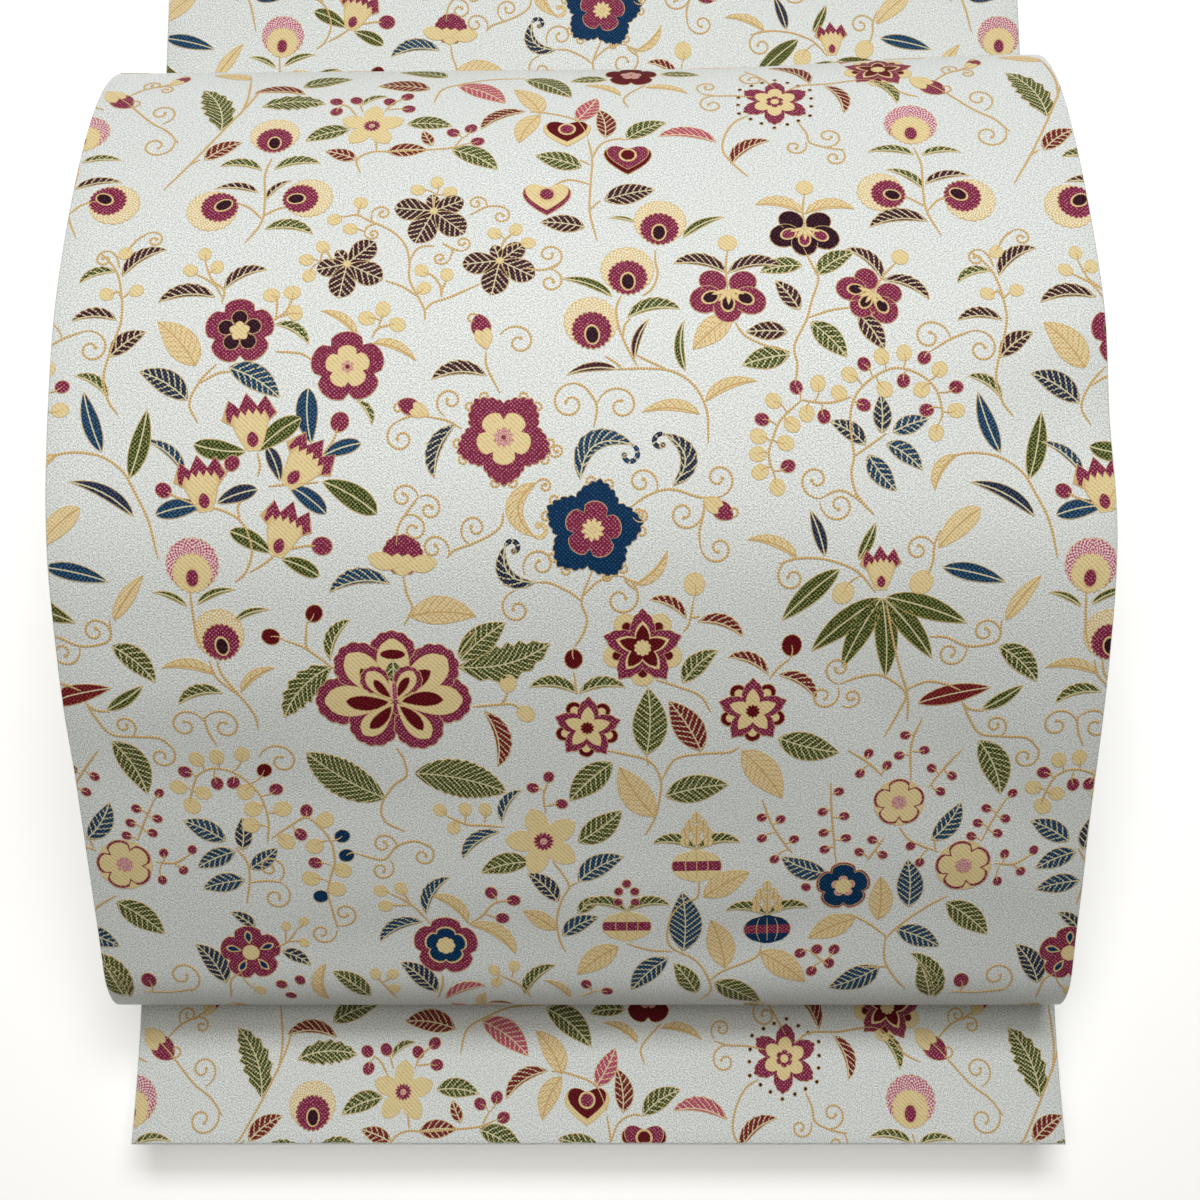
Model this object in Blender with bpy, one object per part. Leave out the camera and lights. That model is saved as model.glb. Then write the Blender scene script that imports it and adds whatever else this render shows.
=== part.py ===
"""An obi sash laid out folded, with its front folded up into the square drum of an otaiko bow.

The sash is one long lined band of stiff brocade. Its unused length is folded to and fro into a flat pile.
On the pile lie, from the foot to the head: the tail (tare) with the band's end, the hollow drum (taiko),
and the upper strip, which comes out from under the drum and turns down round the head of the pile.
Units are metres, +X across the band, +Y from foot to head, +Z up. The origin is under the middle of the pile.
"""

import bpy
import numpy as np

MM = 0.001

# The band
BAND_WIDTH = 310 * MM
WALL = 1.6 * MM
SEAM_GAP = 0.3 * MM

# The pile of folded length, whose layers count from the top
LAYERS = 7
LAYER_PITCH = 2.0 * MM
PILE_FOOT = -39.5 * MM
HEAD_LEDGE = 9.0 * MM
HEAD_TURN = 2.2 * MM
GROOVE_SIDE = 0.9 * MM
GROOVE_PLAY = 0.03
GROOVE_STEPS = 4
LAYER_SLIP = 0.4 * MM
PILE_STATIONS = 26

# The layout line y = 0 is where the drum's front fold meets the tail; MID_Y is the middle of the whole length
TAIL_END = -42.7 * MM
HEAD_END = 439.7 * MM
MID_Y = (TAIL_END + HEAD_END) / 2
PILE_TOP = LAYERS * LAYER_PITCH
BAND_TOP = PILE_TOP + SEAM_GAP + WALL

# The pile swells towards both ends, where its folds lie
FOOT_RISE = 5.5 * MM
FOOT_CURVE = 1.6
HEAD_RISE = 9.4 * MM
HEAD_RISE_FROM = 150 * MM
HEAD_RISE_OVER = 170 * MM
HEAD_DROP = 3.0 * MM
HEAD_DROP_FROM = 400 * MM
HEAD_DROP_OVER = 40 * MM

# Where the tail and the upper strip turn back under the drum, and how far their lips come back
TAIL_TURN = 118 * MM
STRIP_TURN = 148 * MM
LIP = 2.5 * MM

# The drum lies a little to the left of the band under it, and both lean to the left towards the head
DRUM_SHIFT = -0.5 * MM
DRUM_LEAN = -0.0104
BAND_SHIFT = 2.5 * MM
BAND_LEAN = -0.0049
CREST_REACH = 322 * MM
MID_X = (BAND_SHIFT + BAND_LEAN * TAIL_END + DRUM_SHIFT + DRUM_LEAN * CREST_REACH) / 2

# The middle of the drum's wall, from its hidden end under the front fold, up its face, over the crest and
# back: along (layout y) and height over the tail's top, both in millimetres
DRUM_LINE = (
    ("along", "height"),
    (115.2, 1.15),
    (80.0, 1.15),
    (45.0, 1.15),
    (24.0, 1.6),
    (11.0, 4.6),
    (4.9, 11.2),
    (6.2, 19.6),
    (12.6, 27.2),
    (22.5, 32.6),
    (46.4, 44.8),
    (71.4, 58.0),
    (95.0, 71.0),
    (117.8, 82.0),
    (140.0, 90.2),
    (163.0, 93.8),
    (187.0, 94.2),
    (210.0, 92.8),
    (237.3, 86.9),
    (266.6, 77.3),
    (293.5, 64.4),
    (310.0, 50.6),
    (317.6, 35.6),
    (315.5, 20.8),
    (304.5, 12.0),
    (285.0, 9.9),
    (262.0, 8.2),
    (230.0, 5.6),
    (190.0, 2.6),
    (152.2, 1.15),
)

# Soft ridges (+) and troughs (-) of the drum's face, in millimetres and degrees: middle across and along
# the wall, half length, half width, turn and height
FACE_FOLDS = (
    ("across", "along", "half_length", "half_width", "turn", "height"),
    (-105.0, 236.0, 62.0, 13.0, 4.0, 0.9),
    (-95.0, 202.0, 58.0, 12.0, -6.0, -0.8),
    (92.0, 226.0, 60.0, 14.0, -38.0, -1.0),
    (118.0, 178.0, 46.0, 13.0, -14.0, 0.8),
    (8.0, 166.0, 70.0, 11.0, 3.0, 0.8),
    (-70.0, 150.0, 44.0, 10.0, 8.0, -0.6),
    (52.0, 148.0, 40.0, 9.0, 16.0, -0.7),
    (-30.0, 404.0, 70.0, 15.0, 7.0, 0.7),
    (88.0, 420.0, 50.0, 12.0, -9.0, -0.8),
    (70.0, 330.0, 80.0, 30.0, 24.0, 0.7),
    (158.0, 318.0, 34.0, 22.0, 8.0, -3.6),
)

# The crest runs askew: its right half lies further towards the head
CREST_FROM = 220 * MM
CREST_OVER = 90 * MM
CREST_LEFT = -0.9 * MM
CREST_TILT = 1.3 * MM
CREST_STEP = 4.3 * MM
CREST_STEP_FROM = 0.2

# Fineness of the solids
LINE_POINTS = 1200
LONGEST_STEP = 15 * MM
MOST_TURN = 0.17
DRUM_COLUMNS = 14
BAND_COLUMNS = 8
TURN_POINTS = 9

SILK_COLOUR = (0.76, 0.76, 0.71, 1.0)
FOLDED_COLOUR = (0.70, 0.70, 0.65, 1.0)
SILK_ROUGHNESS = 0.45


def clear_scene():
    for old in list(bpy.data.objects):
        bpy.data.objects.remove(old, do_unlink=True)


def smooth_step(share):
    """0 below 0, 1 above 1, and a smooth rise between."""
    share = np.clip(share, 0.0, 1.0)
    return share * share * (3 - 2 * share)


def swell(y):
    """How much higher than in its middle the pile is at layout position y."""
    foot = FOOT_RISE * np.clip(y / TAIL_END, 0.0, None) ** FOOT_CURVE
    head = HEAD_RISE * smooth_step((y - HEAD_RISE_FROM) / HEAD_RISE_OVER)
    drop = HEAD_DROP * smooth_step((y - HEAD_DROP_FROM) / HEAD_DROP_OVER)
    return foot + head - drop


def pile_height(y, level):
    """The height of a level of the pile, from 0 at its underside to 1 at its top."""
    return (PILE_TOP + swell(y)) * level - BAND_TOP


def table(rows):
    """A table's columns as arrays, by the names in its first row."""
    values = np.array(rows[1:], float)
    return {name: values[:, i] for i, name in enumerate(rows[0])}


def smooth_line(along, height):
    """A natural cubic spline through the stations, as LINE_POINTS points (y, z)."""
    knots = np.column_stack([along, height])
    chord = np.linalg.norm(np.diff(knots, axis=0), axis=1)
    at = np.concatenate([[0.0], np.cumsum(np.sqrt(chord))])
    gap = np.diff(at)
    count = len(at)
    system = np.eye(count)
    target = np.zeros((count, 2))
    slope = np.diff(knots, axis=0) / gap[:, None]
    for i in range(1, count - 1):
        system[i, i - 1 : i + 2] = gap[i - 1], 2 * (gap[i - 1] + gap[i]), gap[i]
        target[i] = 6 * (slope[i] - slope[i - 1])
    bend = np.linalg.solve(system, target)
    t = np.linspace(0, at[-1], LINE_POINTS)
    i = np.clip(np.searchsorted(at, t, side="right") - 1, 0, count - 2)
    left, right, h = (t - at[i])[:, None], (at[i + 1] - t)[:, None], gap[i][:, None]
    return (
        bend[i] * right**3 / (6 * h)
        + bend[i + 1] * left**3 / (6 * h)
        + (knots[i] / h - bend[i] * h / 6) * right
        + (knots[i + 1] / h - bend[i + 1] * h / 6) * left
    )


def length_along(line):
    steps = np.linalg.norm(np.diff(line, axis=0), axis=1)
    return np.concatenate([[0.0], np.cumsum(steps)])


def sections(line):
    """Points of the line, close together where it bends and LONGEST_STEP apart where it is straight."""
    heading = np.unwrap(np.arctan2(*np.diff(line, axis=0).T[::-1]))
    bend = np.concatenate([[0.0], np.abs(np.diff(heading)), [0.0]]) / MOST_TURN
    run = np.concatenate([[0.0], np.diff(length_along(line))]) / LONGEST_STEP
    effort = np.cumsum(bend + run)
    wanted = np.linspace(effort[0], effort[-1], int(np.ceil(effort[-1])) + 1)
    return np.column_stack([np.interp(wanted, effort, line[:, k]) for k in (0, 1)])


def turn(middle_y, upper_z, lower_z, facing):
    """A half circle from (middle_y, lower_z) round to (middle_y, upper_z), bulging towards facing."""
    angle = np.linspace(-np.pi / 2, np.pi / 2, TURN_POINTS)
    radius = (upper_z - lower_z) / 2
    y = middle_y + facing * radius * np.cos(angle)
    return np.column_stack([y, (upper_z + lower_z) / 2 + radius * np.sin(angle)])


def front_normals(line):
    """The cloth's front side is to the left of its heading."""
    heading = np.gradient(line, axis=0)
    heading /= np.linalg.norm(heading, axis=1)[:, None]
    return np.column_stack([-heading[:, 1], heading[:, 0]])


def wall(name, line, columns, shift, lean, material, relief=None, skew=None):
    """A cloth wall: the line carried across the band's width and thickened by WALL, closed at its rims."""
    across = np.linspace(-BAND_WIDTH / 2, BAND_WIDTH / 2, columns + 1)
    normal = front_normals(line)
    run = length_along(line)
    rows = len(line)
    lift = np.zeros((rows, columns + 1)) if relief is None else relief(across[None, :], run[:, None])
    faces_points = []
    for side in (0.5, -0.5):
        off = lift + side * WALL
        y = line[:, 0][:, None] + normal[:, 0][:, None] * off
        z = line[:, 1][:, None] + normal[:, 1][:, None] * off
        if skew is not None:
            y = y + skew(across[None, :], y)
        x = across[None, :] + shift + lean * y
        faces_points.append(np.stack([x - MID_X, y - MID_Y, z + BAND_TOP], axis=-1).reshape(-1, 3))
    points = np.concatenate(faces_points)
    back = rows * (columns + 1)

    def at(row, column):
        return row * (columns + 1) + column

    faces = []
    for r in range(rows - 1):
        for c in range(columns):
            a, b, d, e = at(r, c), at(r, c + 1), at(r + 1, c + 1), at(r + 1, c)
            faces += [(a, b, d, e), (back + a, back + e, back + d, back + b)]
        left, right = (at(r, 0), at(r + 1, 0)), (at(r, columns), at(r + 1, columns))
        faces.append((left[0], left[1], back + left[1], back + left[0]))
        faces.append((right[1], right[0], back + right[0], back + right[1]))
    for c in range(columns):
        first, last = (at(0, c), at(0, c + 1)), (at(rows - 1, c), at(rows - 1, c + 1))
        faces.append((first[1], first[0], back + first[0], back + first[1]))
        faces.append((last[0], last[1], back + last[1], back + last[0]))
    return solid(name, points, faces, material)


def silk(name, colour):
    material = bpy.data.materials.new(name)
    material.use_nodes = True
    shader = material.node_tree.nodes["Principled BSDF"]
    shader.inputs["Base Color"].default_value = colour
    shader.inputs["Roughness"].default_value = SILK_ROUGHNESS
    shader.inputs["Metallic"].default_value = 0.0
    return material


def solid(name, points, faces, material):
    mesh = bpy.data.meshes.new(name)
    mesh.from_pydata([tuple(p) for p in points], [], faces)
    mesh.validate()
    mesh.materials.append(material)
    mesh.shade_smooth()
    mesh.set_sharp_from_angle(angle=np.radians(40))
    piece = bpy.data.objects.new(name, mesh)
    bpy.context.scene.collection.objects.link(piece)
    return piece


def face_relief(across, run):
    """The soft folds of the drum's face, as a height over the smooth wall."""
    folds = table(FACE_FOLDS)
    height = np.zeros(np.broadcast(across, run).shape)
    for i in range(len(folds["height"])):
        x = across - folds["across"][i] * MM
        s = run - folds["along"][i] * MM
        angle = np.radians(folds["turn"][i])
        lengthways = (x * np.cos(angle) + s * np.sin(angle)) / (folds["half_length"][i] * MM)
        crossways = (s * np.cos(angle) - x * np.sin(angle)) / (folds["half_width"][i] * MM)
        height = height + folds["height"][i] * MM * np.exp(-(lengthways**2) - crossways**2)
    return height


def crest_skew(across, y):
    """How far the crest is pulled towards the head, from the left edge to the right."""
    share = across / (BAND_WIDTH / 2)
    pull = CREST_LEFT + CREST_TILT * share
    pull = pull + CREST_STEP * smooth_step((share - CREST_STEP_FROM) / (1 - CREST_STEP_FROM))
    return pull * smooth_step((y - CREST_FROM) / CREST_OVER)


def drum(material):
    stations = table(DRUM_LINE)
    line = sections(smooth_line(stations["along"], stations["height"]) * MM)
    return wall("drum", line, DRUM_COLUMNS, DRUM_SHIFT, DRUM_LEAN, material, face_relief, crest_skew)


def tail(material):
    """The band's end, lying on the pile, and its turn back towards the drum's hidden end."""
    y = np.linspace(TAIL_END, TAIL_TURN, 13)
    lying = np.column_stack([y, swell(y) - WALL / 2])
    upper = SEAM_GAP + WALL / 2
    bend = turn(TAIL_TURN, upper, -WALL / 2, 1)[1:]
    lip = [(TAIL_TURN - LIP, upper)]
    line = np.vstack([lying, bend, lip])
    return wall("tail", line, BAND_COLUMNS, BAND_SHIFT, BAND_LEAN, material)


def upper_strip(material):
    """From its lip under the drum, down round its turn, along the pile and round the head of the pile."""
    upper = SEAM_GAP + WALL / 2
    start = [(STRIP_TURN + LIP, upper)]
    bend = turn(STRIP_TURN, upper, -WALL / 2, -1)[::-1]
    y = np.linspace(STRIP_TURN, HEAD_END - HEAD_TURN, 22)[1:]
    lying = np.column_stack([y, swell(y) - WALL / 2])
    ledge = pile_height(y[-1], 1 - 1 / LAYERS) + SEAM_GAP + WALL / 2
    head = turn(y[-1], lying[-1, 1], ledge, 1)[::-1][1:]
    head[:, 0] = y[-1] + (head[:, 0] - y[-1]) * (HEAD_TURN - WALL / 2) / (head[:, 0].max() - y[-1])
    lip_y = HEAD_END - HEAD_LEDGE + SEAM_GAP
    lip = [(lip_y, pile_height(lip_y, 1 - 1 / LAYERS) + SEAM_GAP + WALL / 2)]
    line = np.vstack([start, bend, lying, head, lip])
    return wall("upper_strip", line, BAND_COLUMNS, BAND_SHIFT, BAND_LEAN, material)


def fold_inset(share, upper):
    """How far a layer's side of a rounded fold is in from its outermost point; share runs 0 to 1 up the layer."""
    in_pair = (share + upper) / 2
    return PILE_TOP / LAYERS * (1 - np.sqrt(max(0.0, 1 - (2 * in_pair - 1) ** 2)))


def folded_length(material):
    """The rest of the band: its folded layers as one solid, with a groove between layers and rounded folds."""
    points = []
    for layer in range(LAYERS):
        from_top = LAYERS - layer
        slip = LAYER_SLIP * (1 + np.sin(2.4 * layer))
        for share in np.linspace(0, 1, GROOVE_STEPS + 1):
            groove = GROOVE_SIDE * (2 * share - 1) ** 4
            head_inset = HEAD_LEDGE if from_top == 1 else slip + fold_inset(share, from_top % 2 == 0)
            foot_inset = slip + (groove if layer == 0 else fold_inset(share, from_top % 2 == 1))
            level = (layer + np.clip(share, GROOVE_PLAY * (layer > 0), 1 - GROOVE_PLAY * (from_top > 1))) / LAYERS
            y = np.linspace(PILE_FOOT + foot_inset, HEAD_END - head_inset, PILE_STATIONS)
            z = pile_height(y, level)
            drift = LAYER_SLIP * (1 + np.sin(9 * y + 1.7 * layer))
            half = BAND_WIDTH / 2 - groove - drift
            for side in (-1, 1):
                x = side * half + BAND_SHIFT + BAND_LEAN * y
                points.append(np.column_stack([x - MID_X, y - MID_Y, z + BAND_TOP]))
    count = PILE_STATIONS
    ring = 2 * count
    top = (len(points) // 2 - 1) * ring
    faces = []
    for low in range(0, top, ring):
        high = low + ring
        for i in range(count - 1):
            faces.append((low + i + 1, low + i, high + i, high + i + 1))
            faces.append((low + count + i, low + count + i + 1, high + count + i + 1, high + count + i))
        faces.append((low, low + count, high + count, high))
        faces.append((low + ring - 1, low + count - 1, high + count - 1, high + ring - 1))
    for i in range(count - 1):
        faces.append((i, i + 1, count + i + 1, count + i))
        faces.append((top + i + 1, top + i, top + count + i, top + count + i + 1))
    return solid("folded_length", np.concatenate(points), faces, material)


clear_scene()
brocade = silk("brocade", SILK_COLOUR)
folded_length(silk("folded_brocade", FOLDED_COLOUR))
tail(brocade)
drum(brocade)
upper_strip(brocade)
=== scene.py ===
"""An obi sash folded with its drum bow, laid flat: thin lined cloth and its woven pattern."""

import bmesh
import bpy
import numpy as np
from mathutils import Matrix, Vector


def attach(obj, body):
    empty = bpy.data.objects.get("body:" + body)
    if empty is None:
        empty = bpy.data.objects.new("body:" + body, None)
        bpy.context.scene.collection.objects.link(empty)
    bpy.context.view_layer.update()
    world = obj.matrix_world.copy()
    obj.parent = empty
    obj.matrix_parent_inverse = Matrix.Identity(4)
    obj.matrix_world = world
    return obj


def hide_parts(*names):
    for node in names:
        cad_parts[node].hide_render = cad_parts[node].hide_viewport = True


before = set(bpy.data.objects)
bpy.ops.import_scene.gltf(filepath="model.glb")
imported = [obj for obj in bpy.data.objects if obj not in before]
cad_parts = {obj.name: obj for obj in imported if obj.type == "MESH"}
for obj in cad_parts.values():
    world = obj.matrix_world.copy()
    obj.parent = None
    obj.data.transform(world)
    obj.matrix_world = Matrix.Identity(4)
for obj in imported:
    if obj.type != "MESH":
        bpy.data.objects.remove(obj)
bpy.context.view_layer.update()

# ---------------------------------------------------------------------------------------------------------
# The band: one long tube of brocade and plain lining, 310 mm wide, folded to and fro into a pile, with its
# last stretches on top. Its path and its soft folds are the same as the solids', in the same named sizes.
MM = 0.001
WIDTH = 310 * MM
WALL = 1.6 * MM
SEAM_GAP = 0.3 * MM
RIM = 0.8 * MM
SELVEDGE = 8 * MM
LAYERS = 7
LAYER_PITCH = 2.0 * MM
PILE_TOP = LAYERS * LAYER_PITCH
BAND_TOP = PILE_TOP + SEAM_GAP + WALL
TAIL_END = -42.7 * MM
HEAD_END = 439.7 * MM
CREST_Y = 322 * MM
DRUM_SHIFT, DRUM_LEAN = -0.5 * MM, -0.0104
BAND_SHIFT, BAND_LEAN = 2.5 * MM, -0.0049
MID_X = (BAND_SHIFT + BAND_LEAN * TAIL_END + DRUM_SHIFT + DRUM_LEAN * CREST_Y) / 2
MID_Y = (TAIL_END + HEAD_END) / 2

# Angles of the points round a rim, from the front to the back, and of the rows that close an end
RIM_ANGLES = np.radians([60.0, 30.0, 0.0, -30.0, -60.0])
END_ANGLES = np.radians([78.0, 52.0, 26.0])
END_CLEAR = 1.2 * RIM


def length_along(line):
    """How far along the line each of its points is."""
    return np.concatenate([[0.0], np.cumsum(np.linalg.norm(np.diff(line, axis=0), axis=1))])


def band_surface(line, shift, lean, relief, skew):
    """A stretch's surface, as a function of across, run and height over its wall's middle, and its length.

    A point is its place on the line of (y, z), moved square to the line by its height and the relief, along
    the pile by the skew, and across it by the stretch's shift and lean.
    """
    run = length_along(line)
    heading = np.gradient(line, axis=0)
    heading /= np.linalg.norm(heading, axis=1)[:, None]

    def surface(across, along, height):
        """The points of the stretch, by its line and heading at each run."""
        y, z, heading_y, heading_z = (np.interp(along, run, v) for v in (*line.T, *heading.T))
        size = np.hypot(heading_y, heading_z)
        off = relief(across, along) + height
        y = y - heading_z / size * off
        z = z + heading_y / size * off
        y = y + skew(across, y)
        return np.stack([across + shift + lean * y - MID_X, y - MID_Y, z + BAND_TOP], axis=-1)

    return surface, run[-1]


def add_object(name, data):
    """A new object of the scene, at the origin."""
    made = bpy.data.objects.new(name, data)
    bpy.context.scene.collection.objects.link(made)
    return made


def add_mesh(name, points, quads, uv_maps):
    """A smooth piece from points, the corners of its quads, and UV maps that give each point a place."""
    mesh = bpy.data.meshes.new(name)
    mesh.from_pydata(points, [], quads)
    for label, places in uv_maps.items():
        layer = mesh.uv_layers.new(name=label)
        layer.data.foreach_set("uv", places[quads.ravel()].astype(np.float32).ravel())
    mesh.polygons.foreach_set("use_smooth", np.ones(len(quads), bool))
    return add_object(name, mesh)


def grid_quads(index):
    """The corners of the quads between the rows and columns of a grid of point numbers."""
    corners = [index[:-1, :-1], index[:-1, 1:], index[1:, 1:], index[1:, :-1]]
    return np.stack(corners, axis=-1).reshape(-1, 4)


def rows_along(line, longest, most_turn):
    """Stations along a line, at most longest apart, and closer where it bends more than most_turn."""
    run = length_along(line)
    heading = np.unwrap(np.arctan2(*np.diff(line, axis=0).T[::-1]))
    bend = np.concatenate([[0.0], np.abs(np.diff(heading)), [0.0]]) / most_turn
    effort = np.cumsum(bend + np.concatenate([[0.0], np.diff(run)]) / longest)
    return np.interp(np.linspace(effort[0], effort[-1], int(np.ceil(effort[-1])) + 1), effort, run)


def cloth(name, surface, run, columns, materials):
    """The band's closed skin along a stretch: brocade in front, turned round both rims, and lining behind.

    Each row goes round the band from the middle of its left rim: front, right rim and back, flat between two
    half circles. At both ends the rows close up along a quarter circle.
    """
    inner = np.linspace(-WIDTH / 2 + SELVEDGE, WIDTH / 2 - SELVEDGE, columns - 2)
    flat = np.concatenate([[-WIDTH / 2 + RIM], inner, [WIDTH / 2 - RIM]])
    face = RIM * np.ones(columns)
    rim = WIDTH / 2 - RIM + RIM * np.cos(RIM_ANGLES)
    rim_height = RIM * np.sin(RIM_ANGLES)
    across = np.concatenate([[-rim[2]], -rim[1::-1], flat, rim, flat[::-1], -rim[:2:-1]])
    height = np.concatenate([[0.0], rim_height[1::-1], face, rim_height, -face, rim_height[:2:-1]])
    ends = RIM * (1 - np.sin(END_ANGLES))
    run_between = run[(run > run[0] + END_CLEAR) & (run < run[-1] - END_CLEAR)]
    first_rows, last_rows = [*(run[0] + ends), run[0] + RIM], [run[-1] - RIM, *(run[-1] - ends[::-1])]
    rows = np.concatenate([first_rows, run_between, last_rows])
    thick = np.ones(len(rows))
    thick[: len(ends)] = np.cos(END_ANGLES)
    thick[-len(ends) :] = np.cos(END_ANGLES[::-1])
    points = surface(across[None, :], rows[:, None], height[None, :] * thick[:, None])
    places = np.stack(np.broadcast_arrays(across[None, :], rows[:, None]), axis=-1)
    index = np.arange(len(rows) * len(across)).reshape(len(rows), -1)
    quads = grid_quads(np.concatenate([index, index[:, :1]], axis=1))
    piece = add_mesh(name, points.reshape(-1, 3), quads, {"band": places.reshape(-1, 2)})
    back = 3 + columns + len(RIM_ANGLES)
    is_lining = np.zeros(len(across), int)
    is_lining[back + 1 : back + columns - 2] = 1
    for material in materials:
        piece.data.materials.append(material)
    piece.data.polygons.foreach_set("material_index", np.tile(is_lining, len(rows) - 1))
    close_ends(piece.data, len(rows), len(across))
    return piece


def close_ends(mesh, rows, count):
    """Sews a closed skin's first and last rows, of count points each, shut from front to back."""
    work = bmesh.new()
    work.from_mesh(mesh)
    work.verts.ensure_lookup_table()
    for base, facing in ((0, 1), ((rows - 1) * count, -1)):
        for k in range(1, count // 2 - 1):
            corners = [base + k, base + count - k, base + count - k - 1, base + k + 1]
            work.faces.new([work.verts[i] for i in corners[::facing]])
        for corners in ([0, count - 1, 1], [count // 2 - 1, count // 2 + 1, count // 2]):
            work.faces.new([work.verts[base + i] for i in corners[::facing]])
    for face in work.faces:
        face.smooth = True
    work.to_mesh(mesh)
    work.free()


# ---------------------------------------------------------------------------------------------------------
# The silks: the brocade's ground is a pale silver satin with a fine twill, and its threads catch the light.
# The lining is plain-woven silk of nearly the same colour, sewn to the brocade along both edges.
def srgb(red, green, blue):
    """A colour of 0 to 255 parts as the linear colour of a shader socket."""
    share = np.array([red, green, blue]) / 255
    return (*np.where(share < 0.04045, share / 12.92, ((share + 0.055) / 1.055) ** 2.4).tolist(), 1.0)


def node(tree, kind, values=(), **settings):
    """A shader node with its inputs set or linked, as (input, value or socket) pairs."""
    made = tree.nodes.new(kind)
    for key, value in settings.items():
        setattr(made, key, value)
    for key, value in values:
        if isinstance(value, bpy.types.NodeSocket):
            tree.links.new(value, made.inputs[key])
        else:
            made.inputs[key].default_value = value
    return made


def calculate(tree, operation, first, second=0.0):
    """The result of a maths node."""
    return node(tree, "ShaderNodeMath", [(0, first), (1, second)], operation=operation).outputs[0]


def between(tree, value, low, high, start=0.0, end=1.0):
    """value mapped from low..high to start..end, held at both ends."""
    pairs = [("Value", value), ("From Min", low), ("From Max", high), ("To Min", start), ("To Max", end)]
    return node(tree, "ShaderNodeMapRange", pairs).outputs["Result"]


def mix(tree, share, first, second):
    """The first colour at share 0 and the second at share 1."""
    pairs = [("Factor", share), (6, first), (7, second)]
    return node(tree, "ShaderNodeMix", pairs, data_type="RGBA").outputs[2]


def coordinates(tree, label):
    """The two numbers of a UV map."""
    uv = node(tree, "ShaderNodeUVMap", uv_map=label)
    parts = node(tree, "ShaderNodeSeparateXYZ", [(0, uv.outputs[0])])
    return parts.outputs[0], parts.outputs[1]


def sine(tree, value, pitch):
    """A wave that repeats each time the value has grown by pitch."""
    return calculate(tree, "SINE", calculate(tree, "MULTIPLY", value, 2 * np.pi / pitch))


def twill(tree, pitch):
    """Small floats in diagonal rows, from -1 to 1. pitch is in metres."""
    across, along = coordinates(tree, "band")
    return calculate(tree, "MULTIPLY", sine(tree, across, pitch), sine(tree, along, pitch))


def diagonal(tree, pitch):
    """Diagonal lines across the band, from -1 to 1. pitch is in metres, measured along the band."""
    return sine(tree, calculate(tree, "ADD", *coordinates(tree, "band")), pitch)


def grain(tree, scale):
    """Random unevenness of the cloth, from 0 to 1. scale is the number of specks per metre."""
    across, along = coordinates(tree, "band")
    place = node(tree, "ShaderNodeCombineXYZ", [(0, across), (1, along)])
    pairs = [("Vector", place.outputs[0]), ("Scale", scale), ("Detail", 2.0), ("Roughness", 0.6)]
    return node(tree, "ShaderNodeTexNoise", pairs).outputs["Fac"]


def new_material(name):
    """A new material, its node tree and its shader."""
    material = bpy.data.materials.new(name)
    material.use_nodes = True
    tree = material.node_tree
    return material, tree, tree.nodes["Principled BSDF"]


def finish_cloth(tree, shader, colour, height, depth, roughness, sheen, specular):
    """Sets a cloth's colour, its threads' height as bump, and its gloss."""
    tree.links.new(colour, shader.inputs["Base Color"])
    shader.inputs["Roughness"].default_value = roughness
    shader.inputs["Sheen Weight"].default_value = sheen
    shader.inputs["Sheen Roughness"].default_value = 0.4
    shader.inputs["Specular IOR Level"].default_value = specular
    bump = node(tree, "ShaderNodeBump", [("Height", height), ("Distance", depth), ("Strength", 0.6)])
    tree.links.new(bump.outputs[0], shader.inputs["Normal"])


def ground_silk(name):
    """Pale silver satin: a fine twill whose floats catch the light, and slight unevenness of the dyeing."""
    material, tree, shader = new_material(name)
    slant = calculate(tree, "MULTIPLY", diagonal(tree, 1.1 * MM), 0.6)
    ground_floats = calculate(tree, "ADD", twill(tree, 0.9 * MM), slant)
    specks = between(tree, grain(tree, 2100.0), 0.3, 0.7, -2.0, 2.0)
    height = calculate(tree, "ADD", calculate(tree, "MULTIPLY", ground_floats, 0.4), specks)
    satin = mix(tree, between(tree, height, -1.3, 1.4), srgb(181, 187, 185), srgb(247, 249, 247))
    cloud = between(tree, grain(tree, 22.0), 0.35, 0.65, 0.0, 0.16)
    colour = mix(tree, cloud, satin, srgb(214, 217, 213))
    finish_cloth(tree, shader, colour, height, depth=0.04 * MM, roughness=0.42, sheen=0.02, specular=0.35)
    return material


def lining_silk(name):
    """Plain-woven lining of the same pale colour, a little warmer and duller than the brocade's ground."""
    material, tree, shader = new_material(name)
    height = calculate(tree, "ADD", twill(tree, 0.9 * MM), grain(tree, 300.0))
    colour = mix(tree, between(tree, height, -0.4, 1.6), srgb(205, 203, 194), srgb(226, 224, 215))
    finish_cloth(tree, shader, colour, height, depth=0.03 * MM, roughness=0.6, sheen=0.1, specular=0.3)
    return material


SILKS = (ground_silk("silver_silk"), lining_silk("silk_lining"))

# ---------------------------------------------------------------------------------------------------------
# The drum (taiko): the band's front face folded up at the bottom, bulging out over a hollow, rolled over at
# the crest and tucked back under itself.

# Along and height of the middle of the drum's wall, in millimetres
DRUM_LINE = (
    (115.2, 1.15), (80.0, 1.15), (45.0, 1.15), (24.0, 1.6), (11.0, 4.6), (4.9, 11.2), (6.2, 19.6),
    (12.6, 27.2), (22.5, 32.6), (46.4, 44.8), (71.4, 58.0), (95.0, 71.0), (117.8, 82.0), (140.0, 90.2),
    (163.0, 93.8), (187.0, 94.2), (210.0, 92.8), (237.3, 86.9), (266.6, 77.3), (293.5, 64.4),
    (310.0, 50.6), (317.6, 35.6), (315.5, 20.8), (304.5, 12.0), (285.0, 9.9), (262.0, 8.2),
    (230.0, 5.6), (190.0, 2.6), (152.2, 1.15),
)  # fmt: skip

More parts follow.
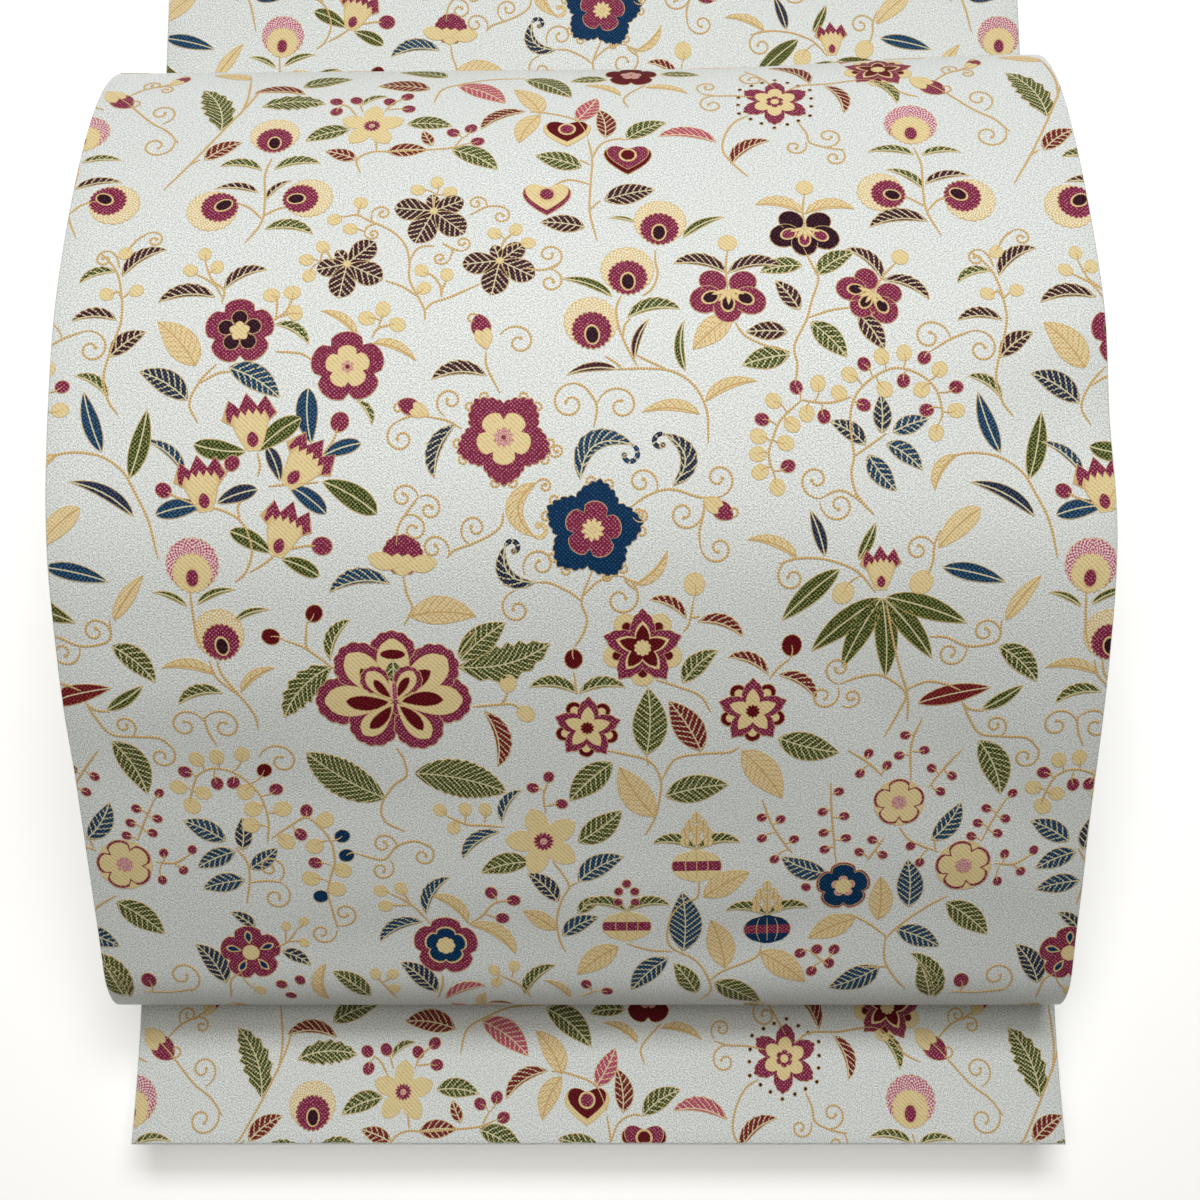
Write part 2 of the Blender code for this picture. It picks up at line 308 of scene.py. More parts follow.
# Soft folds of the drum's face: across, along, half length, half width, turn in degrees, height
FACE_FOLDS = (
    (-105.0, 236.0, 62.0, 13.0, 4.0, 0.9),
    (-95.0, 202.0, 58.0, 12.0, -6.0, -0.8),
    (92.0, 226.0, 60.0, 14.0, -38.0, -1.0),
    (118.0, 178.0, 46.0, 13.0, -14.0, 0.8),
    (8.0, 166.0, 70.0, 11.0, 3.0, 0.8),
    (-70.0, 150.0, 44.0, 10.0, 8.0, -0.6),
    (52.0, 148.0, 40.0, 9.0, 16.0, -0.7),
    (-30.0, 404.0, 70.0, 15.0, 7.0, 0.7),
    (88.0, 420.0, 50.0, 12.0, -9.0, -0.8),
    (70.0, 330.0, 80.0, 30.0, 24.0, 0.7),
    (158.0, 318.0, 34.0, 22.0, 8.0, -3.6),
)


def smooth_step(share):
    """0 below 0, 1 above 1, and a smooth rise between."""
    share = np.clip(share, 0.0, 1.0)
    return share * share * (3 - 2 * share)


def smooth_line(knots, count):
    """A natural cubic spline through the knots, as count points (y, z)."""
    at = np.concatenate([[0.0], np.cumsum(np.sqrt(np.linalg.norm(np.diff(knots, axis=0), axis=1)))])
    gap = np.diff(at)
    slope = np.diff(knots, axis=0) / gap[:, None]
    system = np.eye(len(at))
    target = np.zeros((len(at), 2))
    for i in range(1, len(at) - 1):
        system[i, i - 1 : i + 2] = gap[i - 1], 2 * (gap[i - 1] + gap[i]), gap[i]
        target[i] = 6 * (slope[i] - slope[i - 1])
    bend = np.linalg.solve(system, target)
    t = np.linspace(0, at[-1], count)
    i = np.clip(np.searchsorted(at, t, side="right") - 1, 0, len(at) - 2)
    left, right, h = (t - at[i])[:, None], (at[i + 1] - t)[:, None], gap[i][:, None]
    curved = bend[i] * right**3 / (6 * h) + bend[i + 1] * left**3 / (6 * h)
    before, after = knots[i] / h - bend[i] * h / 6, knots[i + 1] / h - bend[i + 1] * h / 6
    return curved + before * right + after * left


def face_relief(across, run):
    """The drum's soft folds, as a height over the smooth wall: each is a long bell curve, turned."""
    height = np.zeros(np.broadcast(across, run).shape)
    for x0, s0, half_length, half_width, degrees, high in FACE_FOLDS:
        x, s, angle = across - x0 * MM, run - s0 * MM, np.radians(degrees)
        lengthways = (x * np.cos(angle) + s * np.sin(angle)) / (half_length * MM)
        crossways = (s * np.cos(angle) - x * np.sin(angle)) / (half_width * MM)
        height = height + high * MM * np.exp(-(lengthways**2) - crossways**2)
    return height


def crest_skew(across, y):
    """How far the crest is pulled towards the head, from the left edge to the right."""
    share = across / (WIDTH / 2)
    pull = -0.9 * MM + 1.3 * MM * share + 4.3 * MM * smooth_step((share - 0.2) / 0.8)
    return pull * smooth_step((y - 220 * MM) / (90 * MM))


drum_line = smooth_line(np.array(DRUM_LINE) * MM, 1600)
drum_surface, drum_length = band_surface(drum_line, DRUM_SHIFT, DRUM_LEAN, face_relief, crest_skew)
drum_rows = rows_along(drum_line, longest=3.5 * MM, most_turn=0.08)
drum = cloth("drum_cloth", drum_surface, drum_rows, columns=84, materials=SILKS)
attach(drum, "root")
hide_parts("drum")

# ---------------------------------------------------------------------------------------------------------
# The tail (tare): the band's end, closed with a turned-in seam. It lies on the pile and turns back under
# the drum.
TAIL_TURN = 118 * MM
LIP = 2.5 * MM
LIP_SLACK = 0.15 * MM
TURNED_Z = SEAM_GAP + WALL / 2


def swell(y):
    """How much higher than in its middle the pile is at layout position y."""
    foot = 5.5 * MM * np.clip(y / TAIL_END, 0.0, None) ** 1.6
    head = 9.4 * MM * smooth_step((y - 150 * MM) / (170 * MM))
    return foot + head - 3.0 * MM * smooth_step((y - 400 * MM) / (40 * MM))


def turn(middle_y, upper_z, lower_z, facing, count=17):
    """A half circle from (middle_y, lower_z) round to (middle_y, upper_z), bulging towards facing."""
    angle = np.linspace(-np.pi / 2, np.pi / 2, count)
    radius = (upper_z - lower_z) / 2
    y = middle_y + facing * radius * np.cos(angle)
    return np.column_stack([y, (upper_z + lower_z) / 2 + radius * np.sin(angle)])


def flat_relief(across, run):
    """Cloth that lies on the pile: broad waves of a few tenths of a millimetre, fading out at both rims."""
    wave = np.sin(31 * across + 17 * run) * np.sin(23 * run - 12 * across + 1.0)
    return 0.22 * MM * wave * (1 - smooth_step((np.abs(across) - 120 * MM) / (30 * MM)))


def no_skew(across, y):
    """The skew of a stretch that lies straight: none."""
    return 0.0 * y


tail_y = np.linspace(TAIL_END, TAIL_TURN, 60)
tail_flat = np.column_stack([tail_y, swell(tail_y) - WALL / 2])
tail_turn = turn(TAIL_TURN, TURNED_Z, -WALL / 2, 1)[1:]
tail_line = np.vstack([tail_flat, tail_turn, [(TAIL_TURN - LIP + LIP_SLACK, TURNED_Z)]])
tail_surface, tail_length = band_surface(tail_line, BAND_SHIFT, BAND_LEAN, flat_relief, no_skew)
tail_rows = rows_along(tail_line, longest=5 * MM, most_turn=0.3)
tail = cloth("tail_cloth", tail_surface, tail_rows, columns=40, materials=SILKS)
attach(tail, "root")
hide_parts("tail")

# ---------------------------------------------------------------------------------------------------------
# The upper strip: the band comes out from under the drum, lies on the pile and turns down round its head,
# to end on a ledge over the next layer.
STRIP_TURN = 148 * MM
HEAD_TURN = 2.2 * MM
HEAD_LEDGE = 9.0 * MM
LEDGE_SLACK = 0.2 * MM


def pile_height(y, level):
    """How high a share of the pile's layers reaches at layout position y, as z of the stretches' lines."""
    return (PILE_TOP + swell(y)) * level - BAND_TOP


def ledge_height(y):
    """The middle of the wall of a band that lies on all of the pile's layers but the uppermost."""
    return pile_height(y, 1 - 1 / LAYERS) + SEAM_GAP + WALL / 2


strip_y = np.linspace(STRIP_TURN, HEAD_END - HEAD_TURN, 90)[1:]
strip_z = swell(strip_y) - WALL / 2
strip_flat = np.column_stack([strip_y, strip_z])
strip_turn = turn(STRIP_TURN, TURNED_Z, -WALL / 2, -1)[::-1]
head_fold = turn(strip_y[-1], strip_z[-1], ledge_height(strip_y[-1]), 1)[::-1][1:]
fold_reach = head_fold[:, 0] - strip_y[-1]
head_fold[:, 0] = strip_y[-1] + fold_reach * (HEAD_TURN - WALL / 2) / fold_reach.max()
ledge_y = HEAD_END - HEAD_LEDGE + LEDGE_SLACK
strip_start = [(STRIP_TURN + LIP - LIP_SLACK, TURNED_Z)]
strip_line = np.vstack([strip_start, strip_turn, strip_flat, head_fold, [(ledge_y, ledge_height(ledge_y))]])
strip_surface, strip_length = band_surface(strip_line, BAND_SHIFT, BAND_LEAN, flat_relief, no_skew)
strip_rows = rows_along(strip_line, longest=5 * MM, most_turn=0.3)
strip = cloth("upper_strip_cloth", strip_surface, strip_rows, columns=40, materials=SILKS)
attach(strip, "root")
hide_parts("upper_strip")

# ---------------------------------------------------------------------------------------------------------
# The folded length: the rest of the band, folded to and fro seven layers high, with loops at both ends.
# Its layers have slipped a little, along the pile and across it.
PILE_FOOT = -39.5 * MM
LOOP_DEPTH = 2.4 * MM
SLIP_ALONG, SLIP_ACROSS = 0.4 * MM, 0.5 * MM
FLOOR_GAP = 0.06 * MM


def pile_path():
    """The middle of the band's wall through the pile, from the ledge under the head fold to its far end."""
    parts = []
    for layer in range(1, LAYERS + 1):
        level = (LAYERS - layer + 0.5) / LAYERS
        slip = SLIP_ALONG * (1 + np.sin(2.4 * layer))
        foot_y, head_y = PILE_FOOT + LOOP_DEPTH + slip, HEAD_END - LOOP_DEPTH - slip
        start, end = (head_y, foot_y) if layer % 2 else (foot_y, head_y)
        if layer == 1:
            start = HEAD_END - HEAD_LEDGE
        y = np.linspace(start, end, 60)
        parts.append(np.column_stack([y, pile_height(y, level)]))
        if layer < LAYERS:
            facing = -1 if layer % 2 else 1
            next_height = pile_height(end, level - 1 / LAYERS)
            parts.append(turn(end, pile_height(end, level), next_height, facing)[::-1][1:])
    return np.vstack(parts)


def pile_relief(across, run):
    """Each layer's edges lie a little out of line with the next one's."""
    return 0.05 * MM * np.sin(40 * across + 9 * run)


pile_line = pile_path()
pile_line[:, 1] = np.maximum(pile_line[:, 1], RIM + FLOOR_GAP - BAND_TOP)
pile_surface, pile_length = band_surface(pile_line, BAND_SHIFT, BAND_LEAN, pile_relief, no_skew)


def slipped_surface(across, along, height):
    """The pile's surface, wandering to and fro across it as the run goes on."""
    points = pile_surface(across, along, height)
    points[..., 0] += SLIP_ACROSS * np.sin(6.5 * along + 1.0)
    return points


pile_rows = rows_along(pile_line, longest=12 * MM, most_turn=0.35)
pile = cloth("folded_length_cloth", slipped_surface, pile_rows, columns=14, materials=SILKS)
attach(pile, "root")
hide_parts("folded_length")


# ---------------------------------------------------------------------------------------------------------
# The woven pattern: floats of coloured and gold yarn, a few tenths of a millimetre proud of the ground. They
# are drawn as on point paper, x across the band and y along it as complex numbers, one point being 0.29 mm.
POINT = 0.29 * MM
POINT_MM = POINT / MM
PLAIN = -5.0  # the vein phase of a float without veins
woven = {}  # the floats of each yarn in the stretch that is being drawn

# Which sides of a grid of points go down into the ground: before and after its rows, and its columns
ALL_SIDES = ((1, 1), (1, 1))
LAST_ROW = ((0, 1), (0, 0))
LAST_COLUMN = ((0, 0), (0, 1))
OUTER_COLUMNS = ((0, 0), (1, 1))


def pen(x, y, degrees=0.0, size=1.0, flip=False):
    """A place to draw from: its origin, its turn and size as one factor, and whether it mirrors."""
    return complex(x, y), size * np.exp(1j * np.radians(degrees)), flip


def at(spot, degrees):
    """A pen at a complex number, turned."""
    return pen(spot.real, spot.imag, degrees)


def petal_pen(pens, degrees, reach):
    """The pens with one more, at reach from their origin and turned outwards."""
    return at(reach * np.exp(1j * np.radians(degrees)), degrees), *pens


def around(pens, count, reach, first=0.0, sweep=360.0):
    """Pens at equal angles round the origin, each turned outwards."""
    for k in range(count):
        yield petal_pen(pens, first + sweep * k / count, reach)


def weave(pens, yarn, level, z, phase=PLAIN, middle=9.0, rim=9.0, skirt=ALL_SIDES):
    """Adds a grid of points z to a yarn's floats, with vein phase and distances to midrib and rim, in mm.

    The skirt repeats the first and last rows and columns, so that the float's rim goes down into the ground.
    """
    for origin, factor, flip in pens:
        z = origin + factor * (np.conj(z) if flip else z)
    foot = np.pad(np.zeros(z.shape), skirt, constant_values=1.0)
    grids = [z, *(np.broadcast_to(grid, z.shape) for grid in (phase, middle, rim))]
    grids = [np.pad(grid, skirt, mode="edge") for grid in grids]
    faces_down = np.sum(np.conj(z[:-1, :-1] - z[1:, :-1]) * (z[:-1, 1:] - z[:-1, :-1])).imag < 0
    if faces_down:
        foot, grids = foot[:, ::-1], [grid[:, ::-1] for grid in grids]
    woven.setdefault(yarn, []).append((level, foot, *grids))


RING = 2.4  # how far apart a bloom's rings of points are, in millimetres
BLOOM_ROUND = 26  # the vein phase once round a bloom


def bloom(pens, yarn, level, radius, lobes=1, notch=0.0, sharp=2.0, teeth=0, bite=0.0, stretch=1.0):
    """A disc, flower or star: lobes with notches between them, round for sharp 2 and pointed for sharp 1.

    From a lobe's middle to the next notch, the gap grows from 0 to 1, and the reach falls by the notch times
    1 - (1 - gap**sharp)**(1 / sharp). Teeth take a bite from it in the same way.
    """
    steps = teeth * 4 if teeth else max(16, 8 * lobes)
    angle = np.linspace(0, 2 * np.pi, steps + 1)[None, :]
    gap = np.abs((angle * lobes / (2 * np.pi) + 0.5) % 1 - 0.5) * 2
    out = radius * (1 - notch * (1 - (1 - gap**sharp) ** (1 / sharp)))
    out = out * (1 - bite * (1 - np.abs(np.cos(angle * teeth / 2))))
    share = np.linspace(0.02, 1, 2 + int(radius * POINT_MM / RING))[:, None]
    z = share * out * (np.cos(angle) + 1j * stretch * np.sin(angle))
    phase = angle * BLOOM_ROUND / (2 * np.pi)
    depth = share * out * POINT_MM
    weave(pens, yarn, level, z, phase, depth, out * POINT_MM - depth, LAST_ROW)


# Leaves: width left and right of the midrib, place of the widest part and fullness, bow, teeth and their
# bite, and whether each half is veined
LEAVES = {
    "leaf": (0.24, 0.24, 0.85, 0.85, 0.04, 0, 0.0, 1, 1),
    "wide": (0.27, 0.25, 0.80, 0.80, 0.06, 0, 0.0, 1, 1),
    "half": (0.25, 0.19, 0.85, 0.85, 0.07, 0, 0.0, 1, 1),
    "fern": (0.20, 0.24, 0.80, 0.75, 0.10, 6, 0.26, 1, 1),
    "big": (0.24, 0.24, 0.80, 0.75, 0.05, 11, 0.10, 1, 1),
    "comb": (0.23, 0.05, 0.85, 0.75, 0.12, 7, 0.10, 1, 0),
    "hook": (0.24, 0.10, 0.85, 0.80, 0.33, 8, 0.07, 1, 1),
    "sliver": (0.12, 0.07, 0.80, 0.80, 0.09, 0, 0.0, 0, 0),
    "sickle": (0.17, 0.05, 0.80, 0.80, 0.10, 0, 0.0, 1, 0),
    "blade": (0.14, 0.14, 0.85, 0.80, 0.03, 0, 0.0, 0, 0),
    "spoon": (0.20, 0.20, 1.30, 0.52, 0.05, 0, 0.0, 0, 0),
    "petal": (0.25, 0.25, 1.60, 0.50, 0.00, 0, 0.0, 0, 0),
    "lobe": (0.35, 0.35, 1.40, 0.60, 0.00, 0, 0.0, 1, 1),
    "drop": (0.25, 0.25, 1.30, 0.70, 0.00, 0, 0.0, 0, 0),
    "bulb": (0.38, 0.38, 0.90, 0.60, 0.00, 0, 0.0, 0, 0),
}
VEIN_LEAN = 0.85  # how far a vein runs towards the tip for each step outwards
TOOTH_LEAN = 0.3  # the same for a toothed rim


def leaf(pens, yarn, level, kind, length):
    """A leaf from the origin towards +x, as two halves on either side of its midrib.

    The midrib is a flat parabola, and each half's width goes as a power of sin(pi * a**place) along it.
    """
    left, right, place, full, bow, teeth, bite, *veined = LEAVES[kind]
    a = np.linspace(0.005, 0.995, 2 * teeth + 1 if teeth else 12)[:, None]
    spine = length * (a + 4j * bow * a * (1 - a))
    ahead = 1 + 4j * bow * (1 - 2 * a)
    ahead = ahead / np.abs(ahead)
    fullness = length * np.sin(np.pi * a**place) ** full
    if teeth:
        fullness = fullness * (1 - bite * (np.arange(len(a))[:, None] % 2))
    share = np.array([[0.0, 0.5, 1.0]])
    for facing, width, has_veins in zip((1, -1), (left, right), veined):
        half = width * fullness
        z = spine + (facing * 1j + (TOOTH_LEAN if teeth else 0.0)) * ahead * half * share
        phase = (a * length - VEIN_LEAN * share * half) * POINT_MM if has_veins else PLAIN
        middle, rim = share * half * POINT_MM, (1 - share) * half * POINT_MM
        weave(pens, yarn, level, z, phase, middle, rim, LAST_COLUMN)
    if kind == "hook":
        tip = (pen(0.985 * length, 0.02 * length, -62), *pens)
        curl((pen(0, 0, flip=True), *tip), 0.13 * length, 0.7, yarn)


def leaf_pair(pens, x, degrees, yarn, level, kind, length):
    """Two leaves that spread to both sides from x on the axis, each the other's mirror image."""
    for facing in (1, -1):
        leaf((pen(x, 0, degrees * facing, flip=facing > 0), *pens), yarn, level, kind, length)


def thread(pens, points, width=2.4):
    """A couched gold line through points, given as x, y, x, y, on a Catmull-Rom curve, which it returns."""
    knots = np.array(points, float).reshape(-1, 2) @ np.array([1, 1j])
    knots = np.concatenate([[2 * knots[0] - knots[1]], knots, [2 * knots[-1] - knots[-2]]])
    t = np.linspace(0, 1, 7)[:-1]
    runs = []
    for p0, p1, p2, p3 in zip(knots, knots[1:], knots[2:], knots[3:]):
        rise = (p2 - p0) * t + (2 * p0 - 5 * p1 + 4 * p2 - p3) * t**2 + (3 * p1 - p0 - 3 * p2 + p3) * t**3
        runs.append(p1 + rise / 2)
    middle = np.concatenate([*runs, [knots[-2]]])
    ribbon(pens, middle, width, 0)
    return middle


def ribbon(pens, middle, width, level, yarn="thread"):
    """A cord along the middle line, rounded across and tapered at both ends."""
    heading = np.gradient(middle)
    taper = np.minimum(1, 0.55 + 0.15 * np.arange(len(middle)))
    half = width / 2 * np.minimum(taper, taper[::-1]) * 1j * heading / np.abs(heading)
    run = np.concatenate([[0.0], np.cumsum(np.abs(np.diff(middle)))]) * POINT_MM
    z = middle[:, None] + half[:, None] * np.array([[-1.0, 0.0, 1.0]])
    weave(pens, yarn, level, z, run[:, None] + 0 * z.real, skirt=OUTER_COLUMNS)


WIND = 1j - 0.19  # how a curl turns and shrinks


def curl(pens, radius, turns=1.25, yarn="thread"):
    """A tendril that leaves the origin towards +x, rolls in to the left as exp(WIND * t), and has a knob."""
    roll = np.exp(WIND * np.linspace(0, 2 * np.pi * turns, 24)) - 1
    roll = 1.3 * radius * roll * abs(WIND) / WIND
    width, knob = (2.3, 2.0) if yarn == "thread" else (5.0, 3.2)
    ribbon(pens, roll, width, 0, yarn)
    bloom((at(roll[-1], 0), *pens), yarn, 0, knob)


def crown(pens, yarn, level, low, low_half, top, top_half, teeth, depth):
    """A cup that widens from low to a zigzag edge at top, opening towards +x."""
    b = np.linspace(-1, 1, teeth * 4 + 1)[None, :]
    zigzag = np.abs((b + 1) / 2 * teeth % 1 - 0.5) * 2
    share = np.linspace(0, 1, 4)[:, None]
    x = low + (top - depth * zigzag + 0.4 * top * (0.5 - b**2) - low) * share
    side = low_half + (top_half - low_half) * share**0.8
    rim = np.minimum((1 - np.abs(b)) * side, (1 - share) * (top - low)) * POINT_MM
    weave(pens, yarn, level, x + 1j * b * side, rim=rim)


def plum_dark(pens, yarn, size):
    """A plum blossom of one colour, with dark spots round its pale heart."""
    bloom(pens, yarn, 2, size, lobes=5, notch=0.26)
    for petal in around(pens, 5, 0.4 * size):
        bloom(petal, "plum", 3, 0.24 * size)
    bloom(pens, "pale", 5, 0.3 * size, lobes=5, notch=0.3, sharp=1.3)


def plum_gold(pens, yarn, size):
    """A plum blossom with a smaller, paler one on it."""
    inner, reach = ("pink", 0.4) if yarn == "red" else ("pale", 0.6)
    bloom(pens, yarn, 2, size, lobes=5, notch=0.26)
    bloom(pens, inner, 3, reach * size, lobes=5, notch=0.3)
    bloom(pens, "pink", 4, 0.2 * size, lobes=6, notch=0.4, sharp=1.2)
    bloom(pens, "rose", 5, 0.09 * size)


def bell(pens, yarn, size):
    """A balloon flower: five broad toothed petals whose tips curl, round a small open flower."""
    inner, seed, dot = ("pale", "pink", "rose") if yarn == "rose" else ("rose", "pale", "pale")
    for tip in around(pens, 5, 0.96 * size):
        for facing in (1, -1):
            curl((pen(0, 4 * facing, 20 * facing, flip=facing < 0), *tip), 0.09 * size, 0.75)
    bloom(pens, yarn, 2, 1.04 * size, lobes=5, notch=0.26, sharp=1.08, teeth=35, bite=0.05)
    bloom(pens, inner, 3, 0.58 * size, lobes=5, notch=0.34)
    bloom(pens, seed, 4, 0.24 * size, lobes=10, notch=0.35, sharp=1.2)
    bloom(pens, dot, 5, 0.07 * size)


def star(pens, yarn, size):
    """A five-pointed star over a ring of small loops or pale petals."""
    loop, spot, reach = ("pale", "red", 0.29) if yarn == "red" else ("red", "pale", 0.24)
    for petal in around(pens, 5, 0.7 * size, first=36):
        bloom(petal, loop, 1, reach * size)
        bloom((pen(-0.05 * size, 0), *petal), spot, 2, 0.13 * size)
    bloom(pens, "rose", 3, size, lobes=5, notch=0.46, sharp=1.02, teeth=25, bite=0.04)
    bloom(pens, "pale", 4, 0.68 * size, lobes=5, notch=0.52, sharp=1.0)
    if yarn == "red":
        bloom(pens, yarn, 5, 0.6 * size, lobes=5, notch=0.52, sharp=1.0)
    bloom(pens, loop, 6, 0.21 * size, lobes=10, notch=0.25)


def gold_star(pens, yarn, size):
    """A plain star of five pale petals with a coloured heart."""
    bloom(pens, "pale", 2, 1.05 * size, lobes=5, notch=0.52, sharp=1.22)
    bloom(pens, yarn, 3, 0.3 * size, lobes=14, notch=0.25, sharp=1.2)
    bloom(pens, "pink", 4, 0.1 * size)


# A rosette's rings, from the outermost: yarn, radius as a share of the whole, lobes and notch
RINGS = {
    "rose": (("rose", 1, 5, 0.2), ("pale", 0.66, 5, 0.22), ("blue", 0.62, 5, 0.22), ("pale", 0.29, 8, 0.15)),
    "blue": (("rose", 1, 5, 0.2), ("blue", 0.92, 5, 0.24), ("pink", 0.44, 5, 0.5), ("pale", 0.32, 8, 0.15)),
    "pale": (("rose", 0.96, 5, 0.32), ("pale", 0.85, 5, 0.36), ("pink", 0.3, 9, 0.2)),
}


def rosette(pens, yarn, size):
    """A small round flower of rings: rose with blue, blue edged with rose, or pale with a rose outline."""
    if yarn == "pale":
        bloom((pen(0, 0, 36), *pens), "pale", 1, 0.93 * size, lobes=5, notch=0.12)
    for level, (colour, share, lobes, notch) in enumerate(RINGS[yarn], start=2):
        bloom(pens, colour, level, share * size, lobes, notch)


def drop_rosette(pens, yarn, size):
    """A small round flower with a blue drop, edged with gold, on each petal."""
    bloom(pens, yarn, 2, size, lobes=5, notch=0.24)
    for petal in around(pens, 5, 0.3 * size):
        leaf(petal, "pale", 3, "drop", 0.52 * size)
        leaf((pen(0.05 * size, 0), *petal), "blue", 4, "drop", 0.42 * size)
    bloom(pens, "pale", 5, 0.28 * size)


def cosmos(pens, yarn, size):
    """A star of six toothed petals, with three dark dots off each point."""
    for petal in around(pens, 6, 0.66 * size):
        for dot in around(petal, 3, 0.46 * size, first=-50, sweep=150):
            bloom(dot, "plum", 1, 0.065 * size)
    bloom(pens, yarn, 2, size, lobes=6, notch=0.46, sharp=1.3, teeth=36, bite=0.04)
    bloom(pens, "pale", 3, 0.62 * size, lobes=6, notch=0.36, sharp=1.4)
    bloom(pens, yarn, 4, 0.26 * size, lobes=6, notch=0.3)
    bloom(pens, "pale", 5, 0.12 * size)


# The peony's petals: direction, and reach and radius in percent of the whole
TOP_PETAL = 90
OUTER_PETALS = (
    (TOP_PETAL, 67, 32), (179, 70, 35), (2, 67, 34), (132, 67, 34), (42, 71, 34), (227, 44, 34),
    (-51, 46, 34),
)  # fmt: skip
INNER_PETALS = ((129, 40, 20), (60, 36, 20))


def peony(pens, yarn, size):
    """Scalloped petals round a point, each rose at its edge, then pale, with a dark red drop.

    The top petal has an oval instead of a drop, with a green lobe and a pink drop below it.
    """
    bloom(pens, yarn, 2, 0.42 * size)
    for level, drop, petals in ((2, 0.45, OUTER_PETALS), (5, 0.2, INNER_PETALS)):
        for degrees, reach, radius in petals:
            reach, radius = reach * size / 100, radius * size / 100
            bloom(petal_pen(pens, degrees, reach), yarn, level, radius, teeth=12, bite=0.07)
            petal = petal_pen(pens, degrees, 0.03 * size)
            leaf(petal, "pale", level + 1, "petal", reach + 0.55 * radius)
            if degrees != TOP_PETAL:
                leaf((pen(0.05 * size, 0), *petal), "red", level + 2, "spoon", 0.25 * size + drop * reach)
    bloom((pen(0, 0.66 * size), *pens), "red", 4, 0.17 * size, stretch=0.4)
    leaf((pen(0, 0.6 * size, -90), *pens), "green_leaf", 4, "lobe", 0.32 * size)
    leaf((pen(0, 0.3 * size, -90), *pens), "pink", 7, "drop", 0.28 * size)


def thistle(pens, yarn, size):
    """A round head: a fringed fan, a fringed body low on it, and an eye in a gold ring."""
    fan, body, eye = ("gold_fan", "rose", "plum") if yarn == "gold" else ("pink_fan", "pale", "rose")
    bloom(pens, fan, 1, size, teeth=20, bite=0.05)
    bloom((pen(-0.33 * size, 0), *pens), body, 2, 0.76 * size, teeth=22, bite=0.1)
    bloom((pen(-0.5 * size, 0), *pens), "pale", 3, 0.4 * size, stretch=0.72)
    bloom((pen(-0.51 * size, 0), *pens), eye, 4, 0.35 * size, stretch=0.7)


def lily(pens, yarn, size):
    """A cup of coloured points behind a cup of pale ones, with a coloured bulb at its foot."""
    crown(pens, yarn, 2, -0.1 * size, 0.4 * size, size, 1.02 * size, teeth=3, depth=0.5 * size)
    crown(pens, "pale", 3, -0.95 * size, 0.24 * size, 0.5 * size, 0.7 * size, teeth=5, depth=0.24 * size)
    bloom((pen(-0.58 * size, 0), *pens), "pale", 4, 0.32 * size)
    leaf((pen(-0.84 * size, 0), *pens), yarn, 5, "bulb", 0.6 * size)


# An orchid's leaf yarn and eye, by its own yarn, and its petals: direction, and reach and radius as shares
ORCHIDS = {"rose": ("plum_leaf", "plum"), "plum": ("gold_leaf", "rose")}
ORCHID_PETALS = ((60, 0.42, 0.36), (-60, 0.42, 0.36), (118, 0.6, 0.42), (-118, 0.6, 0.42), (180, 0.5, 0.4))


def orchid(pens, yarn, size):
    """A drooping bloom whose stalk side is towards +x, with a gold ball and two curved leaves above it."""
    leaf_yarn, eye = ORCHIDS[yarn]
    thread(pens, (0, 0, 0.6 * size, 2, 1.15 * size, 0))
    bloom((pen(1.35 * size, 0), *pens), "pale", 2, 0.24 * size)
    leaf_pair(pens, 0.45 * size, 80, leaf_yarn, 1, "comb", 1.35 * size)
    for degrees, reach, radius in ORCHID_PETALS:
        petal = petal_pen(pens, degrees, reach * size)
        bloom(petal, yarn, 2, radius * size, stretch=0.9)
        if abs(degrees) > 100:
            spot = (pen(-0.12 * size, 0), *petal)
            bloom(spot, "pale", 3, 0.24 * size, stretch=0.75)
            bloom(spot, eye, 4, 0.2 * size, stretch=0.75)
    for petal in around(pens, 5, 0.02 * size, first=110, sweep=180):
        leaf(petal, "pale", 5, "blade", 0.4 * size)


# A heart's lower and upper layer and its seed, by its own yarn
HEARTS = {"rose": ("red", "rose", "red"), "red": ("pale", "red", "rose"), "gold": ("rose", "pale", "rose")}


def heart(pens, yarn, size):
    """Two hearts, one on the other, with a seed. Their outline is a sum of cosines in x over a sine in y."""
    t = np.linspace(0, 2 * np.pi, 33)[None, :]
    outline = 0.72 * np.cos(t) - 0.24 * np.cos(2 * t) - 0.07 * np.cos(3 * t) - 0.03 * np.cos(4 * t)
    outline = outline + 1j * np.sin(t) * np.abs(np.sin(t)) ** 0.8
    share = np.linspace(0.02, 1, 5)[:, None]
    rim = (1 - share) * size * POINT_MM * 0.8
    under, over, seed = HEARTS[yarn]
    upper = (pen(0.16 * size, 0), *pens)
    weave(pens, under, 2, size * share * outline, rim=rim, skirt=LAST_ROW)
    weave(upper, over, 3, 0.88 * size * share * outline, rim=rim, skirt=LAST_ROW)
    bloom(upper, "pale", 4, 0.38 * size)
    bloom(upper, seed, 5, 0.31 * size)


# The tufts on top of a fruit: where each ball or bud is, in the fruit's own half widths
BALL_TUFT = ((2.0, 0), (1.65, 0.32), (1.65, -0.32), (1.15, 0.34), (1.15, -0.34))
BUD_TUFT = (
    (1.0, 0.42), (1.0, -0.42), (1.35, 0.4), (1.35, -0.4), (1.05, 0), (1.7, 0.24), (1.7, -0.24), (1.45, 0),
    (2.05, 0),
)  # fmt: skip


